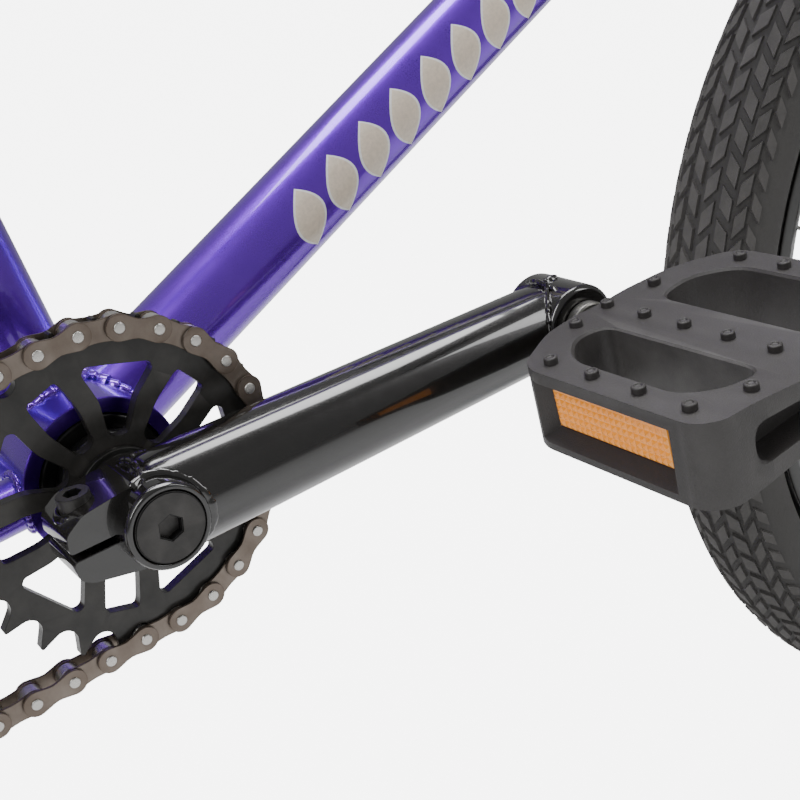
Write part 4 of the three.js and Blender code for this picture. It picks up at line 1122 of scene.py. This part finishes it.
def tyre(axle):
    """A carcass with moulded sidewall lines, and rows of tread blocks on its crown."""
    deep = 1.7 * MM
    middle, tall = (TYRE_R - deep + BEAD_R) / 2, (TYRE_R - deep - BEAD_R) / 2
    profile = []
    for k in range(41):
        a = pi * (-0.22 + 1.44 * k / 40)
        line = 0.35 * MM * (1 if k in (9, 10, 30, 31) else 0)
        profile.append((middle + (tall + line) * sin(a), -(TYRE_HALF - 0.6 * MM + line) * cos(a)))
    profile = [(max(r, BEAD_R + 0.4 * MM), s) for r, s in profile]
    profile.append(profile[0])
    parts = [lathe(profile, axle, Y, 144)]
    around = 108
    verts, faces = [], []
    for row, (centre, half_width) in enumerate(((-66, 6.2), (-51, 6), (-35, 6.6), (-18, 6.4), (0, 6.6),
                                                (18, 6.4), (35, 6.6),
                                                (51, 6), (66, 6.2))):
        for k in range(around):
            turn = tau * (k + 0.5 * (row % 2)) / around
            long = tau / around * (0.37 if abs(centre) < 60 else 0.30)
            slant = radians(2.0) * (1 if row % 2 else -1) / 3
            base = len(verts)
            for height, shrink in ((-0.8 * MM, 1.0), (deep, 0.86)):
                for da, dc in ((-1, -1), (1, -1), (1, 1), (-1, 1)):
                    a = turn + long * da * shrink + slant * dc
                    c = radians(centre + half_width * dc * shrink)
                    r = middle + (tall + height) * cos(c)
                    y = (TYRE_HALF - 0.6 * MM + height) * sin(c)
                    verts.append(axle + Vector((r * cos(a), y, r * sin(a))))
            faces += [[base + i, base + (i + 1) % 4, base + 4 + (i + 1) % 4, base + 4 + i] for i in range(4)]
            faces.append([base + 4, base + 5, base + 6, base + 7])
            faces.append([base + 3, base + 2, base + 1, base])
    return merge(*parts, (verts, faces))


# %% rim, hub and spokes
def rim():
    return turned([(189, -5), (190.5, -9), (199.5, -14.2), (206, -15), (207.4, -15), (207.4, -13.2),
                   (201, -11.2),
                   (197.5, 0), (201, 11.2), (207.4, 13.2), (207.4, 15), (206, 15), (199.5, 14.2),
                   (190.5, 9), (189, 5),
                   (189, -5)], 0.8)


def spokes(axle, flange):
    """Wires from the hub's flanges to the rim, each pair crossing, with a nipple at the rim."""
    wires, nipples = [], []
    for k in range(36):
        side, pull = (1 if k % 2 == 0 else -1), (1 if k % 4 < 2 else -1)
        at_rim = radians(10 * k + 5)
        at_hub = at_rim + pull * radians(58)
        foot = axle + Vector((18.5 * cos(at_hub), side * (flange + 1.5 * pull), 18.5 * sin(at_hub))) * MM
        end = axle + Vector((189 * cos(at_rim), side * 3, 189 * sin(at_rim))) * MM
        way = (end - foot).normalized()
        wires.append(sweep([foot, end], 1.0 * MM, 8))
        wires.append(sweep([foot - Y * side * 2.4 * MM * pull, foot + Y * side * 1.0 * MM * pull], 1.5 * MM,
                           8))
        nipples.append(sweep([end - way * 9 * MM, end - way * 8.4 * MM, end - way * 1 * MM,
                              end + way * 1.5 * MM],
                             [1.2 * MM, 1.9 * MM, 1.9 * MM, 2.4 * MM], 8))
    return merge(*wires), merge(*nipples)


def hub(half, bore, flange, shell_r):
    rows = [(bore, -half[0]), (bore + 5, -half[0]), (shell_r, -flange - 2.6), (21, -flange - 1.6),
            (21, -flange + 1.6),
            (shell_r + 1, -flange + 4), (shell_r - 1.5, 0), (shell_r + 1, flange - 4), (21, flange - 1.6),
            (21, flange + 1.6), (shell_r, flange + 2.6), (bore + 5, half[1]), (bore, half[1]),
            (bore, -half[0])]
    return turned(rows, 0.8)


for name, axle, half, bore, flange, shell_r in (("rear", REAR, (35.4, 55), 7.2, 30, 14),
                                                ("front", FRONT, (50, 50), 5.1, 32, 12)):
    wheel = f"{name}_wheel"
    piece(f"{name}_tyre_tread", tyre(axle), wheel, tyre_rubber, [f"{name}_tyre"], sharp=38)
    piece(f"{name}_rim_turned", lathe(rim(), axle, Y, 144), wheel, satin_black,
          [f"{name}_rim"])
    wires, nipples = spokes(axle, flange)
    piece(f"{name}_hub_turned", lathe(hub(half, bore, flange, shell_r), axle, Y, 64), wheel,
          gloss_black,
          [f"{name}_hub"])
    piece(f"{name}_spokes", wires, wheel, dull_steel)
    piece(f"{name}_nipples", nipples, wheel, rivet_steel)
print("wheels done")

# %% [markdown]
# The fork is two tapered legs on a steerer, the bar one tube bent four times with a straight brace
# across it. Both are sweeps: corners are rounded first and the circle is carried along, so a bend
# stays round the way a bent tube does. The stem is a machined block with a split face plate.

# %% fork
fork_parts = [lathe(turned([(14.3, 288), (14.3, 457.5), (13.6, 458), (10, 458), (10, 288), (14.3, 288)], 0.3),
                    steer_base, STEER_UP, 64),
              lathe(turned([(14, 286), (17, 286), (19, 290), (19, 302), (22, 306), (22, 307.7), (14, 307.7),
                            (14, 286)], 0.5),
                    steer_base, STEER_UP, 64)]
piece("steerer_turned", merge(*fork_parts), "steering", gloss_black, ["fork_steerer"])
for name, side in (("right", -1), ("left", 1)):
    foot = FRONT + STEER_UP * 20 * MM + Y * 54.5 * side * MM
    corners = [steer_at(288, 0, 14 * side), steer_at(268, 0, 46 * side), steer_at(150, 2, 52 * side), foot]
    run = rounded(corners, 22 * MM, 8)
    sizes = []
    for p in run:
        down = (steer_at(288) - p).dot(STEER_UP) / MM
        sizes.append((14.5 - 1.0 * max(0, min(1, (down - 20) / 118)) - 3.5 * max(0,
            min(1, (down - 138) / 140))) * MM)
    leg = sweep(run, sizes, 48)
    plan = [(26, -8), (26, 8), (0, 14), (-11, 10), (-15, 0), (-11, -10), (0, -14)]
    tip_loop = soft_loop([(u, f) for u, f in plan], 5)
    tip = plate(tip_loop, [[(5.2 * MM * cos(tau * k / 24),
                             -5.2 * MM * sin(tau * k / 24)) for k in range(24)]],
                50.6 * MM, 56.6 * MM, 0.5 * MM,
                lambda u, f, h: FRONT + STEER_UP * u + STEER_AHEAD * f + Y * h * side)
    seam = bead(circle(foot + STEER_UP * 1.5 * MM, STEER_UP, 10 * MM, 40), 1.8 * MM, seed=31)
    crown = bead([p for p in circle(steer_at(286, 0, 17.5 * side), Y, 14.0 * MM, 40)], 2.2 * MM, seed=32)
    piece(f"fork_leg_{name}_tube", merge(leg, tip, seam, crown), "steering", gloss_black,
          [f"fork_leg_{name}"], sharp=40)

# %% stem, spacer and cap
bar_centre = steer_at((426.3 + 457) / 2, 50)
stem_loop = soft_loop([(-0.1, -15.3), (49.4, -15.3), (49.4, -11.6), (40, -7), (40, 7), (49.4, 11.6),
                       (49.4, 15.3), (-0.1, 15.3)], 3)
stem_mid = steer_at((426.3 + 457) / 2)
stem = plate(stem_loop, [], -24 * MM, 24 * MM, 2.0 * MM,
             lambda f, u, h: stem_mid + STEER_AHEAD * f + STEER_UP * u + Y * h)
collar = lathe(turned([(14.6, 426.3), (21, 426.3), (21, 457), (14.6, 457), (14.6, 426.3)], 1.0), steer_base,
               STEER_UP, 72)
piece("stem_block", merge(stem, collar), "steering", gloss_black, ["stem_body"], sharp=34,
      flat=True)
face_loop = soft_loop([(1.2, -15.3), (13, -15.3), (18, -9), (18, 9), (13, 15.3), (1.2, 15.3), (1.2, 11.8),
                       (9, 7.8),
                       (12, 0), (9, -7.8), (1.2, -11.8)], 1.6)
face = plate(face_loop, [], -24 * MM, 24 * MM, 1.4 * MM,
             lambda f, u, h: bar_centre + STEER_AHEAD * f + STEER_UP * u + Y * h)
piece("stem_face_plate", face, "steering", gloss_black, ["stem_plate"], sharp=34, flat=True)
bolts = [socket_head(bar_centre + STEER_AHEAD * 12.6 * MM + STEER_UP * u * 12.6 * MM + Y * y * MM,
                     STEER_AHEAD,
                     4.0 * MM, 2.4 * MM, 4.6 * MM, 20 * MM, 2.2 * MM) for u in (-0.9, 0.9) for y in (-17, 17)]
bolts += [socket_head(steer_at(s, -17, 17.5), Y, 3.8 * MM, 2.4 * MM, 4.2 * MM, 30 * MM,
                      2.2 * MM) for s in (434, 449)]
piece("stem_bolts", merge(*bolts), "steering", bolt_black)
spacer = turned([(14.6, 420.3), (20.5, 420.3), (20.5, 426), (14.6, 426), (14.6, 420.3)], 0.7)
piece("spacer_ring", lathe(spacer, steer_base, STEER_UP, 72), "steering", satin_black,
      ["headset_spacer"])
cap = turned([(0, 458.3), (16.4, 458.3), (17, 459), (17, 462.2), (16, 463.3), (0, 463.3)], 0.5)
piece("cap_disc", lathe(cap, steer_base, STEER_UP, 72), "steering", gloss_black, ["top_cap"])

# %% bar, brace and grips
BAR_R = 11.1 * MM


def bar_at(y, up, rearward):
    return bar_centre + (STEER_UP * up + Vector((-rearward, y, 0))) * MM


corner_list = [bar_at(-355, 211, 32), bar_at(-190, 205, 0), bar_at(-52, 0, 0), bar_at(52, 0, 0),
               bar_at(190, 205, 0),
               bar_at(355, 211, 32)]
low_bends = rounded(corner_list[1:5], 26 * MM, 12)
path = [corner_list[0]] + rounded([corner_list[0], corner_list[1], low_bends[1]], 46 * MM,
                                  14)[1:-1] + low_bends[1:-1] + \
    rounded([low_bends[-2], corner_list[4], corner_list[5]], 46 * MM, 14)[1:-1] + [corner_list[5]]
piece("bar_tube", sweep(path, BAR_R, 56), "steering", gloss_black, ["handlebar"])
upright_dir = {side: (bar_at(190 * side, 205, 0) - bar_at(52 * side, 0, 0)).normalized() for side in (-1, 1)}
brace_ends = [saddle_cut(bar_at(0, 148, 0), Y, 8 * MM, bar_at(52 * s, 0, 0), upright_dir[s], BAR_R, -s,
                         48) for s in (-1, 1)]
brace = merge(loft(brace_ends), *[bead(loop, 2.0 * MM, seed=41 + i) for i, loop in enumerate(brace_ends)])
piece("bar_brace", brace, "steering", gloss_black, ["crossbar"], sharp=50)
for name, side in (("right", -1), ("left", 1)):
    end = bar_at(355 * side, 211, 32)
    inboard = (bar_at(190 * side, 205, 0) - end).normalized()
    rows = [(12.4, -0.3), (12.4, 131), (21, 131), (21, 128.2), (17, 127)]
    for k in range(24):
        s = 122 - 5.0 * k
        rows += [(16.0, s), (16.0, s - 2.4), (14.7, s - 2.9), (14.7, s - 4.5)]
    rows += [(16.6, -1), (18, -3), (18, -6), (16.6, -8), (0, -8), (0, -2), (11, -2), (12.4, -0.3)]
    piece(f"grip_{name}_ribbed", lathe(turned(rows, 0.4), end, inboard, 64), "steering",
          grip_rubber,
          [f"grip_{name}"])

# %% [markdown]
# The saddle is the one soft part: a thick foam pad under a stitched cover, on a short neck. A pad
# blown up by a cloth simulation gets the crowned top and pulled-in corners that a modelled block
# never has, so the plain outline is remeshed, inflated a little with its movement capped, and
# smoothed. Piping is then laid round its edge as a thin cord of its own.

# %% saddle
post_top = seat_at(262)
tilt = radians(-6)


def on_saddle(x, y, z):
    """Millimetres on the saddle's own level, tipped with it."""
    spun = Vector((x * cos(-tilt) - z * sin(-tilt), y, x * sin(-tilt) + z * cos(-tilt)))
    return post_top + (spun + Vector((-12, 0, 12))) * MM


def saddle_half_width(x):
    """Narrow nose, broad tail."""
    t = (x + 114) / 236
    nose = 20.5 * sqrt(max(0.0, 1 - max(0.0, (t - 0.88) / 0.12) ** 2))
    broad = 58 * sqrt(max(0.0, 1 - max(0.0, (0.10 - t) / 0.10) ** 2))
    mix = min(max((t - 0.12) / 0.50, 0.0), 1.0)
    mix = mix * mix * (3 - 2 * mix)
    return broad * (1 - mix) + nose * mix if t > 0.1 else broad


stations = [-113 + 233 * k / 46 for k in range(47)]
pad_loops = []
for x in stations:
    w = max(saddle_half_width(x) - 2.5, 3.0)
    loop = []
    for k in range(40):
        a = tau * k / 40
        cy, cz = cos(a), sin(a)
        squash_y = w * (abs(cy) ** 0.72) * (1 if cy > 0 else -1)
        thick = (13.0 if cz > 0 else 10.5) * (abs(cz) ** 0.62) * (1 if cz > 0 else -1)
        loop.append(on_saddle(x, squash_y, 8 + thick))
    pad_loops.append(loop)
pad = piece("saddle_pad", loft(pad_loops), "seat", saddle_cover, ["saddle"], sharp=80)


def inflate(obj, pressure, cap, frames=16):
    """Remeshes a closed shape and lets cloth pressure crown it; no point moves further than cap."""
    bpy.context.view_layer.objects.active = obj
    remesh = obj.modifiers.new("even_mesh", "REMESH")
    remesh.mode, remesh.voxel_size = "VOXEL", 4.5 * MM
    bpy.context.view_layer.update()
    even = bpy.data.meshes.new_from_object(obj.evaluated_get(bpy.context.evaluated_depsgraph_get()))
    obj.modifiers.clear()
    obj.data = even
    start = [v.co.copy() for v in even.vertices]
    cloth = obj.modifiers.new("pressure", "CLOTH")
    cloth.settings.use_pressure = True
    cloth.settings.uniform_pressure_force = pressure
    cloth.settings.effector_weights.gravity = 0
    cloth.settings.quality = 4
    cloth.point_cache.frame_start, cloth.point_cache.frame_end = 1, frames
    for frame_number in range(1, frames + 1):
        bpy.context.scene.frame_set(frame_number)
    done = obj.evaluated_get(bpy.context.evaluated_depsgraph_get())
    ends = [v.co.copy() for v in done.data.vertices]
    obj.modifiers.clear()
    bpy.context.scene.frame_set(1)
    for vertex, a, b in zip(even.vertices, start, ends):
        move = b - a
        vertex.co = a + (move * (cap / move.length) if move.length > cap else move)


inflate(pad, 4.0, 3.5 * MM)
work = bmesh.new()
work.from_mesh(pad.data)
for _ in range(3):
    bmesh.ops.smooth_vert(work, verts=work.verts[:], factor=0.5, use_axis_x=True, use_axis_y=True,
                          use_axis_z=True)
work.to_mesh(pad.data)
work.free()
pad.data.shade_smooth()
pad.modifiers.new("smooth_cover", "SUBSURF").levels = 1
pad.modifiers["smooth_cover"].render_levels = 1
edge = [(x, saddle_half_width(x) - 0.6) for x in stations]
rail = [on_saddle(x, w, 1.0) for x, w in edge] + [on_saddle(x, -w, 1.0) for x, w in edge[::-1]]
loops = []
for i, p in enumerate(rail):
    along = (rail[(i + 1) % len(rail)] - rail[i - 1]).normalized()
    side = Vector((0, 0, 1)).cross(along).normalized()
    loops.append([p + 1.5 * MM * (cos(tau * k / 10) * side + sin(tau * k / 10) * along.cross(side)) for k
            in range(10)])
piece("saddle_piping", loft(loops, ring=True), "seat", grip_rubber, sharp=80)
base_loops = []
for x in stations[2:-2]:
    w = saddle_half_width(x) - 4
    base_loops.append([on_saddle(x, w * cos(tau * k / 32),
                                 -3.2 + 3.4 * sin(tau * k / 32)) for k in range(32)])
piece("saddle_base", loft(base_loops), "seat", pedal_plastic, sharp=60)
neck = turned([(13, 262.3), (17, 262.3), (18, 266), (22, 274), (22, 277), (13, 277), (13, 262.3)], 1.0)
piece("saddle_neck", lathe(neck, BB, SEAT_UP, 56), "seat", pedal_plastic)
piece("seat_post_tube", lathe(turned([(10.6, 110), (12.6, 110), (12.6, 262), (10.6, 262), (10.6, 110)],
                                     0.4), BB, SEAT_UP, 64),
      "seat", gloss_black, ["seat_post"])

# %% seat clamp and axle ends
clamp = lathe(turned([(14.6, 201.5), (19, 201.5), (19, 215.5), (14.6, 215.5), (14.6, 201.5)], 1.0), BB,
              SEAT_UP, 72)
behind = Y.cross(SEAT_UP)
ear_blocks = []
for y in (1.4, -7.2):
    ear = soft_loop([(-27, 202.2), (-16, 202.2), (-16, 214.8), (-27, 214.8)], 2.5)
    ear_blocks.append(plate(ear, [], y * MM, (y + 5.8) * MM, 0.6 * MM,
                            lambda b, s, h: BB + behind * b + SEAT_UP * s + Y * h))
clamp_bolt = socket_head(BB + behind * -22 * MM + SEAT_UP * 208.5 * MM + Y * 6.8 * MM, Y, 4.2 * MM,
                         2.6 * MM, 4.6 * MM,
                         13 * MM, 2.3 * MM)
piece("seat_clamp_ring", merge(clamp, *ear_blocks), "frame", gloss_black, ["seat_clamp"],
      sharp=34)
piece("seat_clamp_bolt", clamp_bolt, "frame", bolt_black)

# %% [markdown]
# Last, the plain parts whose shape is already right get their finishes too.

# %% finishes for the parts kept as they are
by_slot = {"paint": violet, "black_metal": gloss_black, "satin_metal": satin_black, "steel": dull_steel,
           "tyre": tyre_rubber, "rubber": grip_rubber, "saddle": saddle_cover, "plastic": pedal_plastic,
           "amber": amber_lens_painted_glow, "chain": chain_brown}
slot_of = {part["node"]: part["material_slot"] for part in frame["record"]["subparts"]}
kept = 0
for name, node in frame["nodes"].items():
    node.data.materials.clear()
    node.data.materials.append(by_slot[slot_of[name]])
    kept += not node.hide_render
print(kept, "plain parts kept")
